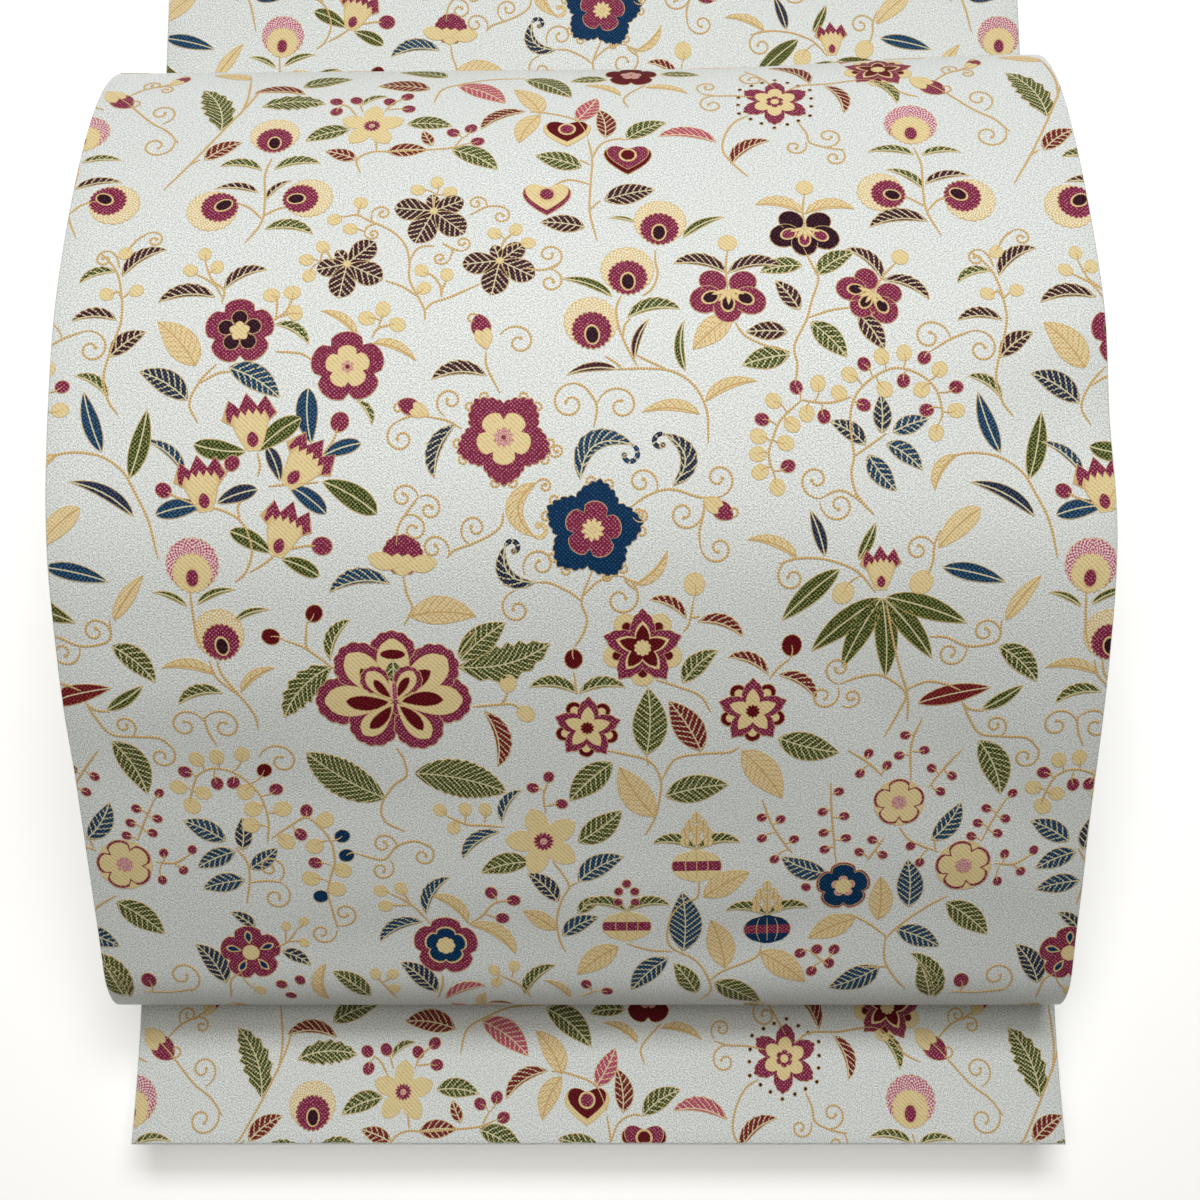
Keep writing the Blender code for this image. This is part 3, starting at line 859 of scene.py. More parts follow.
def fruit(pens, yarn, size):
    """A flattened fruit with a coloured belt and gold seams, two leaves at its top and a small tuft."""
    body = "blue" if yarn == "blue" else "pale"
    b = np.linspace(-1, 1, 11)[None, :]
    for low, high, colour in ((-0.99, -0.3, body), (-0.3, 0.3, "rose"), (0.3, 0.99, body)):
        x = np.linspace(low, high, 4)[:, None]
        side = b * np.sqrt(1 - x**2)
        weave(pens, colour, 2, size * (0.7 * x + 1j * side), rim=(1 - np.abs(b)) * size * POINT_MM)
    way = np.linspace(-1, 1, 9)
    for side in (-0.45, 0.0, 0.45):
        ribbon(pens, size * (0.56 * way + 1j * side * (1 - 0.3 * way**2)), 1.2, 4)
    leaf_pair(pens, 0.7 * size, 80, "green_leaf", 3, "comb", 1.75 * size)
    if yarn == "rose":
        for x, y in BALL_TUFT:
            bloom((pen(x * size, y * size), *pens), yarn, 4, 0.2 * size)
    else:
        for x, y in BUD_TUFT:
            leaf((pen((x - 0.15) * size, y * size, 25 * y), *pens), "gold_leaf", 4, "bulb", 0.5 * size)


# A fig leaf's lobes: direction, and length as a share of the whole
FIG_LOBES = ((0, 0.5), (78, 0.95), (-70, 0.78), (150, 1.02), (-138, 1.0))


def fig(pens, yarn, size):
    """A fig leaf: five veined lobes round a gold point."""
    for degrees, reach in FIG_LOBES:
        leaf((pen(0, 0, degrees), *pens), yarn + "_leaf", 1, "lobe", reach * size)
    bloom(pens, "pale", 2, 0.1 * size)


def bud(pens, yarn, size):
    """A coloured bud in a gold cup, from the origin towards +x, with a curled tip."""
    curl((pen(0.93 * size, 0, 20), *pens), 0.13 * size, 0.8)
    leaf((pen(0.3 * size, 0), *pens), yarn, 2, "bulb", 0.7 * size)
    for degrees in (13, -13):
        leaf((pen(0, 0, degrees), *pens), "pale", 3, "drop", 0.6 * size)


def half_bell(pens, yarn, size):
    """A half-open bell: a coloured dome on two spread pale petals."""
    bloom((pen(0.1 * size, 0), *pens), yarn, 2, 0.62 * size, teeth=14, bite=0.07)
    crown(pens, "pale", 3, -0.5 * size, 0.1 * size, 0.12 * size, 0.62 * size, teeth=4, depth=0.1 * size)
    leaf_pair(pens, -0.25 * size, 78, "pale", 4, "drop", 1.05 * size)


DRAWN = (
    plum_dark, plum_gold, bell, star, gold_star, rosette, drop_rosette, cosmos, peony, thistle, lily, orchid,
    heart, fruit, fig, bud, half_bell,
)  # fmt: skip
MOTIFS = {motif.__name__: motif for motif in DRAWN}


# Each spray's gold stems as x, y, x, y; its motifs as kind, yarn, x, y, turn and size, which is negative for
# a mirrored one; and its berries as yarn, radius, x, y, x, y
SPRAYS = {
    "plums": {
        "stems": (
            (-101, -76, -110, -56, -100, -33, -84, -15), (-100, -35, -83, -25, -70, -23),
            (-82, 51, -81, 66, -94, 78, -103, 100), (-82, 58, -92, 73, -113, 86), (-99, 85, -90, 92),
            (-25, -2, 0, -4, 12, -11), (-31, 30, -17, 41, -11, 55, -10, 63), (-26, 34, -26, 55, -31, 60),
            (-26, 34, -12, 39, -2, 39), (72, 13, 78, 23, 95, 28), (78, 23, 82, 39),
        ),
        "motifs": (
            ("plum_dark", "rose", -62, 20, 93, 36), ("plum_gold", "rose", 48, -18, 93, 38),
            ("comb", "plum", -89, 57, -174, -58), ("comb", "plum", -81, 66, 29, 49),
            ("wide", "gold", -105, -17, 131, -62), ("half", "navy", -112, -53, 149, -58),
            ("half", "blue", -72, -19, -31, 61), ("comb", "green", -27, 27, -32, 41),
            ("sickle", "gold", 56, 15, 144, -46), ("sickle", "gold", 73, 7, -24, 48),
            ("comb", "green", 57, -53, -59, 30),
        ),
        "berries": (
            ("pale", 8, -104, 109, -117, 89, -90, 93),
            ("pale", 9, -32, 60, -11, 63, -7, 40, 66, 34, 82, 44, 97, 27),
        ),
    },
    "plum_sprig": {
        "stems": (
            (2, -89, -9, -73, -14, -48, -7, -18, 0, 9, -1, 34, -8, 63, -20, 81, -29, 89),
            (-1, 34, -6, 43, -14, 38), (0, 36, 6, 42), (-7, 71, -11, 84, -17, 91),
            (-2, 91, 7, 106, 18, 115),
        ),
        "motifs": (
            ("curl", "gold", -17, 91, 157, 9), ("curl", "gold", 18, 115, 26, -9),
            ("comb", "plum", -3, 60, 38, 54), ("comb", "green", -10, 66, -159, -39),
            ("comb", "plum", -4, 10, -179, -46), ("half", "plum", -9, -29, 37, 45),
            ("comb", "green", -9, -72, 146, -41),
        ),
        "berries": (
            ("pale", 8, -3, 89, -17, 40, 13, 44),
        ),
    },
    "lilies": {
        "stems": (
            (-17, -91, -6, -81, 1, -61, -3, -41, -12, -28, -30, -19, -46, -17),
            (-10, -31, -12, -17, -8, -10), (18, 4, 40, 6, 68, 8), (7, 38, 10, 25, 8, 14),
            (27, -61, 15, -71, -2, -81), (72, 35, 83, 51, 87, 63), (-46, -17, -30, 8, -22, 20),
            (-46, -17, -70, -8, -82, -2), (34, -59, 54, -55, 65, -55),
        ),
        "motifs": (
            ("lily", "rose", 0, 66, 99, 28), ("lily", "rose", 53, 25, 52, 28),
            ("lily", "rose", -48, 4, 100, 27), ("lily", "rose", 33, -41, 71, 27),
            ("spoon", "green", -4, 39, 172, 53), ("spoon", "green", 7, 39, 38, 55),
            ("sickle", "blue", -66, 17, 140, -52), ("spoon", "navy", 30, 9, 111, -37),
            ("spoon", "navy", -33, -13, 19, 43), ("spoon", "blue", -46, -15, -169, -49),
            ("spoon", "blue", 61, 47, 94, 57), ("spoon", "blue", 72, 34, 19, 41),
            ("spoon", "blue", 38, 5, -37, 47), ("spoon", "green", 72, 9, -31, 63),
            ("spoon", "green", 20, -62, 152, -46), ("spoon", "green", 30, -68, -25, 41),
        ),
        "berries": (
            ("rose", 11, 89, 69, 71, -55), ("rose", 9, -86, 0, -18, 27),
        ),
    },
    "bells": {
        "stems": (
            (-74, 142, -73, 126, -60, 99), (-130, 74, -112, 70, -98, 62), (-130, 74, -148, 75, -162, 70),
            (-164, -54, -162, -37, -156, -26, -147, -14, -141, -6),
            (-114, -67, -106, -59, -89, -53, -70, -44, -59, -34, -57, -22),
            (20, -110, 8, -101, -11, -92, -25, -91), (12, -158, 21, -144, 25, -128, 20, -109, 31, -79),
            (11, -185, 14, -209), (21, -105, 37, -90, 54, -84), (74, -99, 64, -89, 79, -92),
            (34, 63, 37, 86, 26, 104, 15, 109), (69, -17, 89, -4, 111, 1, 139, -7, 159, -7),
            (143, -9, 142, -24, 138, -41, 139, -57),
        ),
        "motifs": (
            ("bell", "rose", -56, 53, -90, 48), ("bell", "blue", 32, -39, 81, 50),
            ("bud", "rose", -73, 144, 104, 40), ("curl", "gold", -60, 160, 57, -16),
            ("comb", "plum", -73, 116, -176, -56), ("bud", "rose", -130, 76, 157, 35),
            ("curl", "gold", -161, 70, -160, 14), ("curl", "gold", -115, 75, 149, -13),
            ("comb", "navy", -104, 66, -111, -58), ("curl", "gold", -24, 7, 60, -7),
            ("hook", "gold", -23, 8, -93, -54), ("curl", "gold", -141, -7, 100, 12),
            ("curl", "gold", -140, -6, 25, -12), ("curl", "gold", -158, -26, 30, -13),
            ("curl", "gold", -91, -53, 150, -13), ("curl", "gold", -112, -65, 74, 13),
            ("hook", "navy", -25, -91, 129, 48), ("curl", "gold", -37, -83, 109, -15),
            ("curl", "gold", -46, -99, -165, 15), ("curl", "gold", 54, -84, 0, -19),
            ("sickle", "gold", 74, -93, 47, -47), ("hook", "blue", 20, 10, 33, 64),
            ("curl", "gold", 17, 109, 175, 17), ("curl", "gold", 38, 89, 70, -18),
            ("curl", "gold", 155, -7, 5, 15), ("curl", "gold", 95, -3, 64, 14),
            ("hook", "navy", 111, 4, 98, -53), ("curl", "gold", 142, -21, -96, -15),
            ("curl", "gold", 139, -55, -85, 14), ("bud", "rose", 142, -7, -35, 36),
            ("curl", "gold", 72, -27, -60, 7), ("curl", "gold", -12, 38, -61, 7),
        ),
        "berries": (
            ("red", 11, 11, -171),
        ),
    },
    "blue_blades": {
        "stems": (
            (-49, 23, -27, 27, 1, 23, 23, 8, 36, -14, 49, -42, 57, -78),
        ),
        "motifs": (
            ("comb", "gold", -41, 25, -123, -43), ("blade", "blue", 2, 27, 108, 66),
            ("blade", "green", 30, 1, 77, -72), ("sliver", "navy", 34, -37, 152, -73),
        ),
    },
    "bamboo": {
        "stems": (
            (-6, -2, -20, 15, -34, 24, -57, 31, -82, 32, -102, 27), (46, 15, 51, 30, 52, 45, 58, 60),
            (5, -10, 14, -52, 23, -84, 32, -110), (50, -48, 68, -49, 89, -58, 111, -56, 121, -49, 122, -31),
        ),
        "motifs": (
            ("blade", "green", -1, -8, -140, -88), ("blade", "green", 0, -8, -116, -83),
            ("blade", "green", 1, -8, -85, 85), ("blade", "green", 3, -8, -51, 82),
            ("blade", "green", 5, -7, -18, 87), ("blade", "green", -42, 21, -137, -78),
            ("lily", "rose", -1, 20, 93, 21), ("sickle", "gold", -85, 32, 160, -53),
            ("blade", "navy", -57, 34, 108, -48), ("blade", "green", -24, 30, 65, -42),
            ("curl", "gold", -87, 32, -175, 15), ("curl", "gold", 53, 42, 106, 13),
            ("spoon", "gold", 56, 42, 43, 58), ("curl", "gold", 122, -48, 84, 13),
            ("curl", "gold", 88, -56, -72, -14), ("blade", "gold", 126, -31, 54, 57),
            ("blade", "blue", 60, 23, -13, 66),
        ),
        "berries": (
            ("pale", 12, -38, -3), ("pale", 13, 40, 8),
        ),
    },
    "red_blades": {
        "stems": (
            (16, -12, 1, -10, -7, -3), (-8, -1, 1, -20, 14, -38, 40, -41, 63, -43, 77, -57),
            (-85, -43, -72, -15, -66, 7, -90, 26, -112, 25, -134, 17), (-62, -24, -63, -1, -68, 22),
            (-67, 10, -47, 20, -27, 18, -11, 11),
        ),
        "motifs": (
            ("blade", "red", -53, -4, 14, 76), ("blade", "green", 13, -10, 34, -49),
            ("half", "green", 25, 59, -43, 57), ("half", "green", 13, -46, -66, 70),
            ("curl", "gold", 34, -41, 35, 11), ("curl", "gold", 68, -47, -31, -14),
            ("curl", "gold", -135, 17, 169, -13), ("curl", "gold", -135, 14, -69, -14),
            ("curl", "gold", -130, -7, -32, 10),
        ),
    },
    "thistle_pair": {
        "stems": (
            (-16, 52, -15, 32, -13, 7, -8, -8), (41, -97, 39, -81, 27, -60, 5, -40, -2, -21),
            (26, -58, 10, -36, 6, -21), (-4, -116, -11, -99, -13, -83),
        ),
        "motifs": (
            ("thistle", "pink", -12, 78, 87, 27), ("thistle", "gold", 10, 7, 100, 26),
            ("sliver", "green", -20, 35, 157, -37), ("sliver", "green", -10, 37, 21, 43),
            ("sliver", "green", 27, 20, 18, 38), ("sickle", "gold", 2, -36, 173, -54),
            ("sickle", "gold", 28, -55, 36, 45), ("comb", "green", 9, -56, -165, -48),
            ("curl", "gold", -13, -89, 111, 16), ("curl", "gold", -14, -86, 58, -17),
            ("curl", "gold", 38, -130, 67, -18),
        ),
    },
    "peony": {
        "stems": (
            (-110, 61, -90, 53, -60, 30), (-87, 79, -89, 58, -86, 51), (76, -11, 99, -9, 116, -8, 125, -13),
            (105, -9, 111, -1, 113, 6),
            (-4, -58, 3, -72, 4, -91, -9, -102, -22, -121, -25, -135, -19, -148, -1, -157),
        ),
        "motifs": (
            ("peony", "rose", -2, -5, 0, 78), ("fern", "green", 64, 33, 15, -97),
            ("leaf", "green", 66, 40, 40, 62), ("blade", "green", 64, 44, 53, 35),
            ("comb", "green", -65, 40, 62, 48), ("fern", "green", -64, 34, -133, -77),
            ("comb", "red", 88, -16, -80, 65), ("big", "green", 13, -88, -13, 97),
            ("big", "green", -20, -118, 145, 95),
        ),
        "berries": (
            ("red", 10, -124, 65, -79, 89), ("pale", 10, 114, 15, 131, -19),
        ),
    },
    "bell_sprig": {
        "stems": (
            (4, 15, 7, -3, 12, -17, 9, -25, 3, -36),
        ),
        "motifs": (
            ("half_bell", "rose", 4, 32, 86, 34), ("comb", "blue", -9, 6, -172, -62),
            ("half", "gold", 9, -27, 0, 67),
        ),
    },
    "wreathlet": {
        "stems": (
            (-22, -89, -16, -60, -17, -38, -27, -21), (-16, -63, 3, -61, 19, -63),
            (7, -15, 10, 12, 5, 37, -6, 55, -23, 69, -43, 73, -59, 65, -67, 47, -71, 32),
            (12, -9, 32, 5, 49, 15, 62, 6, 74, -12, 77, -36, 70, -60, 67, -75, 70, -97, 74, -121),
            (99, -27, 129, -35, 144, -19, 164, -13, 180, -20),
        ),
        "motifs": (
            ("curl", "gold", 16, -61, 42, 14), ("curl", "gold", 18, -63, -35, -15),
            ("curl", "gold", 72, -116, -25, 14), ("curl", "gold", 73, -123, -90, -13),
            ("leaf", "blue", -37, -13, 150, -50), ("leaf", "navy", -21, -24, 85, -40),
            ("leaf", "blue", -28, -25, -155, -47), ("leaf", "blue", -21, -60, -167, -48),
            ("leaf", "blue", -15, -46, 38, -41), ("curl", "gold", 144, -23, 78, 12),
            ("curl", "gold", 173, -15, -17, -12), ("curl", "gold", 136, -35, -50, -12),
        ),
        "berries": (
            ("pale", 9, -58, 84, -37, 87, -10, 90, -81, 51, -56, 44),
            ("rose", 8, -72, 69, -40, 55, -23, 56, 21, 48, 51, 23, 43, -5, 56, -39), ("red", 9, 11, 71),
            ("pale", 10, -69, 29, -11, 45, -5, 25, -9, 6, 26, 25, 70, 12, 57, -19, 27, -13, 50, -58, 85,
             -48, 77, -71), ("blue", 9, 87, -7, 90, -30, 59, -80),
        ),
    },
    "gold_star": {
        "stems": (
            (-41, 18, -64, 20, -81, 21, -102, 31), (-62, 24, -60, 36), (-83, 23, -81, 36),
            (3, 35, 1, 55, 6, 72), (3, 43, 16, 47),
            (9, -23, 19, -37, 26, -53, 18, -69, 12, -95, 15, -121, 21, -136), (26, -53, 36, -47),
        ),
        "motifs": (
            ("gold_star", "rose", 0, 1, 107, 39), ("comb", "blue", -43, 24, 60, 44),
            ("comb", "blue", -46, 12, -141, -52), ("half", "green", -15, -24, -166, -55),
            ("leaf", "green", 36, 0, 39, -61), ("half", "navy", 14, -72, 133, -48),
            ("half", "blue", 36, -47, 31, 58), ("half", "blue", 18, -116, 32, 47),
            ("leaf", "gold", 11, -108, 145, -43), ("half", "green", 35, -87, 36, 35),
        ),
        "berries": (
            ("pale", 8, -109, 38, -82, 39, -61, 39, -95, 17), ("rose", 7, -10, 65, 7, 78, 20, 46),
        ),
    },
    "rosette": {
        "stems": (
            (-15, 27, -35, 52, -57, 66), (-35, 52, -44, 70), (-36, 51, -56, 51),
            (26, 27, 40, 37, 55, 54, 74, 58), (43, 41, 58, 35), (-5, -37, -6, -51, -13, -74),
        ),
        "motifs": (
            ("rosette", "rose", 0, 0, 88, 36), ("comb", "blue", -19, 40, 59, 53),
            ("comb", "blue", -23, 29, -152, -55), ("comb", "gold", 25, 28, 137, -51),
            ("comb", "gold", 27, 26, -37, 61), ("half", "navy", -13, -62, 133, -56),
            ("comb", "pink", -4, -76, 27, 52),
        ),
        "berries": (
            ("pale", 8, -67, 69, -45, 72, -63, 50), ("rose", 8, 52, 67, 76, 58, 63, 35),
        ),
    },
    "foot_sprigs": {
        "stems": (
            (-115, -23, -124, -5, -134, 10), (35, -21, 23, 0, 1, 14), (14, 11, 17, 23), (89, -19, 109, -8),
        ),
        "motifs": (
            ("comb", "gold", -191, -25, 88, 53), ("half", "green", -145, -19, 136, -54),
            ("comb", "green", 28, -15, 49, 54), ("sickle", "gold", 78, -21, 135, -40),
        ),
        "berries": (
            ("pale", 7, -136, 15, -117, 15, -117, -5), ("pale", 7, -5, 20, 17, 25, -3, 4),
            ("rose", 7, 96, 1, 119, -10),
        ),
    },
    "drop_rosette": {
        "stems": (
            (28, 6, 42, 14, 53, 30), (42, 14, 57, 14), (39, 13, 40, 28), (-13, -25, -25, -35, -29, -63),
        ),
        "motifs": (
            ("drop_rosette", "rose", 0, 0, 94, 34), ("half", "navy", -31, -39, 120, -58),
            ("half", "navy", 7, 31, 141, -32), ("half", "navy", 33, 1, -29, 36),
            ("leaf", "green", -148, -61, 108, -53),
        ),
        "berries": (
            ("pale", 6, 41, 33, 61, 39, 59, 12), ("rose", 7, 30, -41, 51, -35, 38, -59),
            ("pale", 7, 5, -50),
        ),
    },
    "fruits": {
        "stems": (
            (-1, 25, -3, 4, -17, -3, -30, -19, -35, -45, -29, -62, -4, -77, 9, -96, 14, -117, 3, -135),
            (-80, -55, -54, -64, -29, -66), (69, -59, 62, -74, 26, -91, 13, -102),
        ),
        "motifs": (
            ("fruit", "gold", -4, 42, 91, 27), ("fruit", "rose", -79, -33, 90, 27),
            ("fruit", "blue", 74, -38, 92, 26), ("leaf", "blue", -17, -66, 92, -77),
            ("leaf", "gold", 4, 4, 32, 58), ("leaf", "gold", 29, -87, 105, -64),
            ("leaf", "gold", 67, -67, -36, 63), ("leaf", "gold", -88, -59, -142, -58),
            ("half", "blue", -33, -75, -134, -59), ("leaf", "green", -1, -122, 123, -49),
            ("leaf", "green", 17, -105, -33, 64),
        ),
    },
    "beads_left": {
        "stems": (
            (-15, 36, -4, 7, 12, -19, 19, -27), (56, 57, 59, 17, 66, -40),
        ),
        "berries": (
            ("rose", 6, -15, 15, 5, 13, -14, -10, 20, -11, 0, -35),
            ("rose", 6, 65, 46, 49, 22, 72, 17, 51, -3, 75, -9, 53, -23),
        ),
    },
    "rosettes": {
        "stems": (
            (-34, -13, -26, 0, -18, 14), (7, 83, 5, 122, 14, 153), (-23, 87, -40, 103, -61, 117),
            (26, 73, 41, 95, 58, 117), (86, 10, 96, 33, 109, 59), (102, -16, 123, -17, 142, -5),
            (119, -16, 132, -25), (55, -57, 32, -72, 3, -97, -8, -111), (-49, -80, -27, -93, -8, -108),
            (-9, -108, -8, -138, 4, -160, 18, -176), (-2, 27, 11, 11, 41, -2), (38, 0, 35, 14),
            (-35, -146, -18, -147, -4, -145), (68, -181, 99, -182, 129, -176),
            (-70, -145, -82, -134, -92, -126),
        ),
        "motifs": (
            ("rosette", "blue", -58, -45, 93, 30), ("rosette", "pale", -4, 56, 93, 29),
            ("rosette", "pale", 69, -19, 103, 32), ("half", "blue", -75, -29, 158, 55),
            ("leaf", "gold", -42, -86, -153, -57), ("leaf", "gold", -18, -88, 91, -55),
            ("leaf", "blue", 14, -72, 95, -61), ("half", "blue", 32, 12, 56, -53),
            ("leaf", "blue", 2, -99, -24, 54), ("leaf", "blue", -13, -146, -153, 62),
            ("comb", "green", 51, -192, 117, -70), ("leaf", "green", 54, -65, -40, 63),
            ("curl", "gold", 121, -181, 24, 18),
        ),
        "berries": (
            ("rose", 6, -30, 12, -43, -3, -18, -6, 11, 5, 22, -15, -98, -46),
            ("rose", 6, -2, 133, -39, 113, -7, 110, -47, 90, -19, 99, 19, 116, 28, 95, 50, 86, 39, 68),
            ("rose", 6, 115, 66, 89, 48, 110, 36, 81, 31, 103, 19, 75, 16, 112, -5, 143, -1, 131, -26, 107,
             -38), ("rose", 10, 78, -164),
            ("rose", 7, -101, -130, -83, -125, -64, -125, -69, -142, -88, -152),
        ),
    },
    "stars": {
        "stems": (
            (33, 129, 29, 105, 23, 96), (29, 110, 40, 112), (131, 66, 120, 57, 111, 45),
            (-5, 45, 18, 37, 41, 27, 52, 9),
            (-55, -35, -33, -40, -10, -48, 1, -69, 0, -91, -5, -115, -15, -135),
            (2, -69, 16, -45, 42, -39, 71, -37, 82, -31), (-14, -40, -12, -52),
        ),
        "motifs": (
            ("star", "red", -18, 79, 90, 42), ("star", "pale", -75, -9, 87, 36),
            ("star", "pale", 95, 10, 91, 37), ("comb", "red", 26, 109, 152, -42),
            ("comb", "red", 37, 106, -19, 49), ("half", "green", 23, 41, 45, 50),
            ("comb", "red", 110, 49, 155, -46), ("comb", "red", 120, 49, -34, 48),
            ("leaf", "green", -14, -40, 89, -76), ("leaf", "red", 43, -36, 121, -67),
            ("leaf", "gold", -5, -113, 122, 70), ("leaf", "green", 122, -20, -15, -67),
            ("leaf", "gold", 85, -35, -52, 71), ("leaf", "green", 6, -89, 12, 68),
            ("leaf", "green", -49, -49, -135, -65), ("comb", "green", -84, 29, 172, -50),
            ("comb", "green", -83, 29, 8, 48),
        ),
        "berries": (
            ("pale", 12, 34, 145), ("red", 12, 133, 81),
        ),
    },
    "wreath": {
        "stems": (
            (-58, 31, -79, 11, -88, -9, -92, -26, -86, -48),
            (12, -84, -5, -64, -10, -42, -7, -26, -10, 5, -6, 31, 10, 51, 36, 64, 61, 58, 77, 43, 83, 20,
             80, 9), (-8, 34, -32, 28, -59, 31), (-7, -26, 9, -15, 26, -3),
            (12, -84, -5, -68, -22, -60, -42, -68), (74, 82, 95, 95, 117, 104),
        ),
        "motifs": (
            ("half", "navy", 5, -15, 146, -43), ("leaf", "navy", 21, -3, 90, -40),
            ("leaf", "blue", 32, -2, 21, 40), ("half", "blue", 25, -13, -37, 45),
            ("leaf", "blue", 7, -24, -53, -46), ("curl", "gold", -40, -68, -175, -15),
            ("curl", "gold", -42, -72, -86, 15), ("curl", "gold", 95, 93, 91, 17),
            ("curl", "gold", 117, 104, 11, -16),
        ),
        "berries": (
            ("pale", 9, -86, 30, -41, 48, -20, 38, -68, 6, -53, 17, -102, -6, -75, -13, -103, -24, -101,
             -42, -84, -57, -9, 57, 24, 76, 47, 80, 82, 63, 26, 42, 63, 42, 97, 21, 76, -2),
            ("rose", 8, -63, 44, -98, 11, -36, 14, -73, -36, 6, 68, 67, 75, 45, 51, 98, 45, 4, 26, 67, 21),
        ),
    },
    "thistle_row": {
        "stems": (
            (66, -129, 65, -96, 53, -70, 31, -55, 3, -52, -24, -53), (-36, -39, -24, -47, -19, -53),
            (-4, -49, -14, -29, -22, -7, -24, 13, -19, 27), (-4, -38, 9, -45, 24, -52),
            (17, 82, 17, 67, 19, 53, 13, 36, 3, 27), (-18, -22, -16, -7, -10, 2),
        ),
        "motifs": (
            ("thistle", "gold", 23, 118, 84, 28), ("thistle", "gold", -12, 58, 91, 28),
            ("thistle", "gold", -50, -2, 95, 28), ("sliver", "green", -3, 117, 169, -28),
            ("sliver", "green", 46, 97, 31, 52), ("sliver", "green", -28, 26, 158, -56),
            ("comb", "green", -13, 2, 10, 55), ("sliver", "plum", -6, -42, 70, 46),
            ("sliver", "plum", -24, -53, -173, -52), ("sliver", "green", 45, -55, 90, 55),
            ("sickle", "gold", 58, -100, 178, -58), ("sickle", "gold", 64, -87, 22, 57),
        ),
    },
    "orchids": {
        "stems": (
            (6, 39, 16, 12, 19, 0, 11, -23, 4, -46, -9, -73, -7, -94, -10, -115),
            (49, -32, 29, -35, 4, -44), (-68, -48, -59, -62, -39, -73, -14, -80),
        ),
        "motifs": (
            ("orchid", "plum", 9, 64, 86, 39), ("orchid", "rose", -74, -11, 88, 42),
            ("orchid", "rose", 74, -14, 53, 38), ("half", "green", 4, 17, -170, -45),
            ("half", "green", 18, 6, 34, 49), ("leaf", "plum", -2, -35, 124, -42),
            ("leaf", "green", 8, -48, -47, 52), ("leaf", "green", -14, -83, -167, -50),
            ("leaf", "plum", -15, -59, 180, -43), ("leaf", "gold", -70, -40, -138, -56),
            ("leaf", "plum", 57, -39, -58, 46),
        ),
    },
    "figs": {
        "stems": (
            (-3, -70, -4, -58, -11, -43, -20, -24, -21, -2, -25, 16, -35, 31, -51, 43, -64, 49, -78, 57,
             -90, 55), (-3, -59, 4, -51, 22, -44, 52, -29), (-9, -45, -27, -32, -45, -25),
            (-20, 0, -15, 12, -7, 17, 4, 17), (12, 21, 18, 17, 23, 14, 31, 11), (22, 14, 23, 9, 21, 4),
            (13, -44, 11, -30, 3, -19, -6, -15), (13, -43, 14, -34, 18, -25), (-78, 57, -76, 65, -74, 72),
            (-99, -2, -109, 12, -113, -2), (72, 12, 77, 25, 87, 35), (80, 17, 92, 21),
            (2, 66, 2, 76, 4, 84), (40, 57, 58, 68, 76, 68), (-56, 44, -62, 49, -63, 57),
            (-58, 46, -66, 42, -69, 35), (96, -10, 118, -12, 134, -3),
        ),
        "motifs": (
            ("fig", "plum", 2, 62, 96, 44), ("fig", "plum", -85, -5, 123, -41),
            ("fig", "plum", 72, -1, 109, 41), ("curl", "gold", -63, 57, 89, -9),
            ("curl", "gold", -69, 35, -91, 7), ("curl", "gold", 31, 11, 0, 8),
            ("curl", "gold", 21, 4, -93, -8), ("curl", "gold", 68, 68, 6, -10),
            ("curl", "gold", 57, 68, 79, 9), ("curl", "gold", 126, -10, 23, 13),
            ("curl", "gold", 124, -11, -12, -12),
        ),
        "berries": (
            ("pale", 8, -16, 90, 4, 100, 18, 87, -101, 51, -75, 73, -84, 39, -111, 16, -127, 0, -123, -19,
             66, 33, 88, 38, 101, 21, -8, -13, 18, -18, -5, -34),
        ),
    },
    "hearts": {
        "stems": (
            (6, -94, -1, -57, 0, -21, 2, 14, -2, 45), (1, 14, 11, 37, 27, 46, 38, 45), (0, 7, -11, 14),
            (2, -21, -22, -14, -38, -21), (-1, -54, 10, -42), (-2, 51, -16, 79, -49, 92, -66, 94),
        ),
        "motifs": (
            ("heart", "red", -25, 58, 90, 26), ("heart", "gold", -46, -38, 90, 26),
            ("heart", "rose", 40, 17, 89, 26), ("leaf", "green", -9, 3, 161, -53),
            ("leaf", "plum", -6, -77, 172, -47), ("half", "green", 39, 45, 33, 53),
            ("half", "red", 16, 48, 98, -50), ("leaf", "plum", 14, -42, 15, 56),
            ("leaf", "pink", -15, 77, 62, -49), ("half", "gold", -54, 90, 122, -58),
            ("half", "gold", -54, 88, -115, -53), ("comb", "red", -70, 94, -147, -57),
        ),
    },
    "cosmos": {
        "stems": (
            (-37, -113, -53, -93, -62, -74, -58, -50, -46, -28, -31, -18),
            (23, -32, 30, -49, 33, -65, 53, -74, 69, -77), (-18, 14, -43, 19, -65, 20, -81, 25),
            (2, 32, -12, 58, -27, 80), (13, 23, 31, 34, 64, 35, 110, 39, 139, 11, 158, 1),
        ),
        "motifs": (
            ("cosmos", "rose", 0, 5, 85, 40), ("curl", "gold", 28, -64, -73, -11),
            ("curl", "gold", 49, -72, -2, 13), ("curl", "gold", 64, -76, -43, -11),
            ("curl", "gold", -65, 20, 178, 14), ("curl", "gold", -81, 27, 130, -11),
            ("curl", "gold", -24, 72, -158, 14), ("comb", "red", -54, -96, 39, 56),
            ("comb", "pink", -68, -63, 171, -63), ("comb", "red", 41, 37, 128, -66),
            ("comb", "red", 57, 31, -72, 52), ("comb", "green", 107, 35, -59, 50),
        ),
    },
    "gold_flower": {
        "stems": (
            (-7, -74, -12, -54, 3, -42, 28, -42, 55, -40, 87, -37, 108, -29), (6, -22, 8, -39),
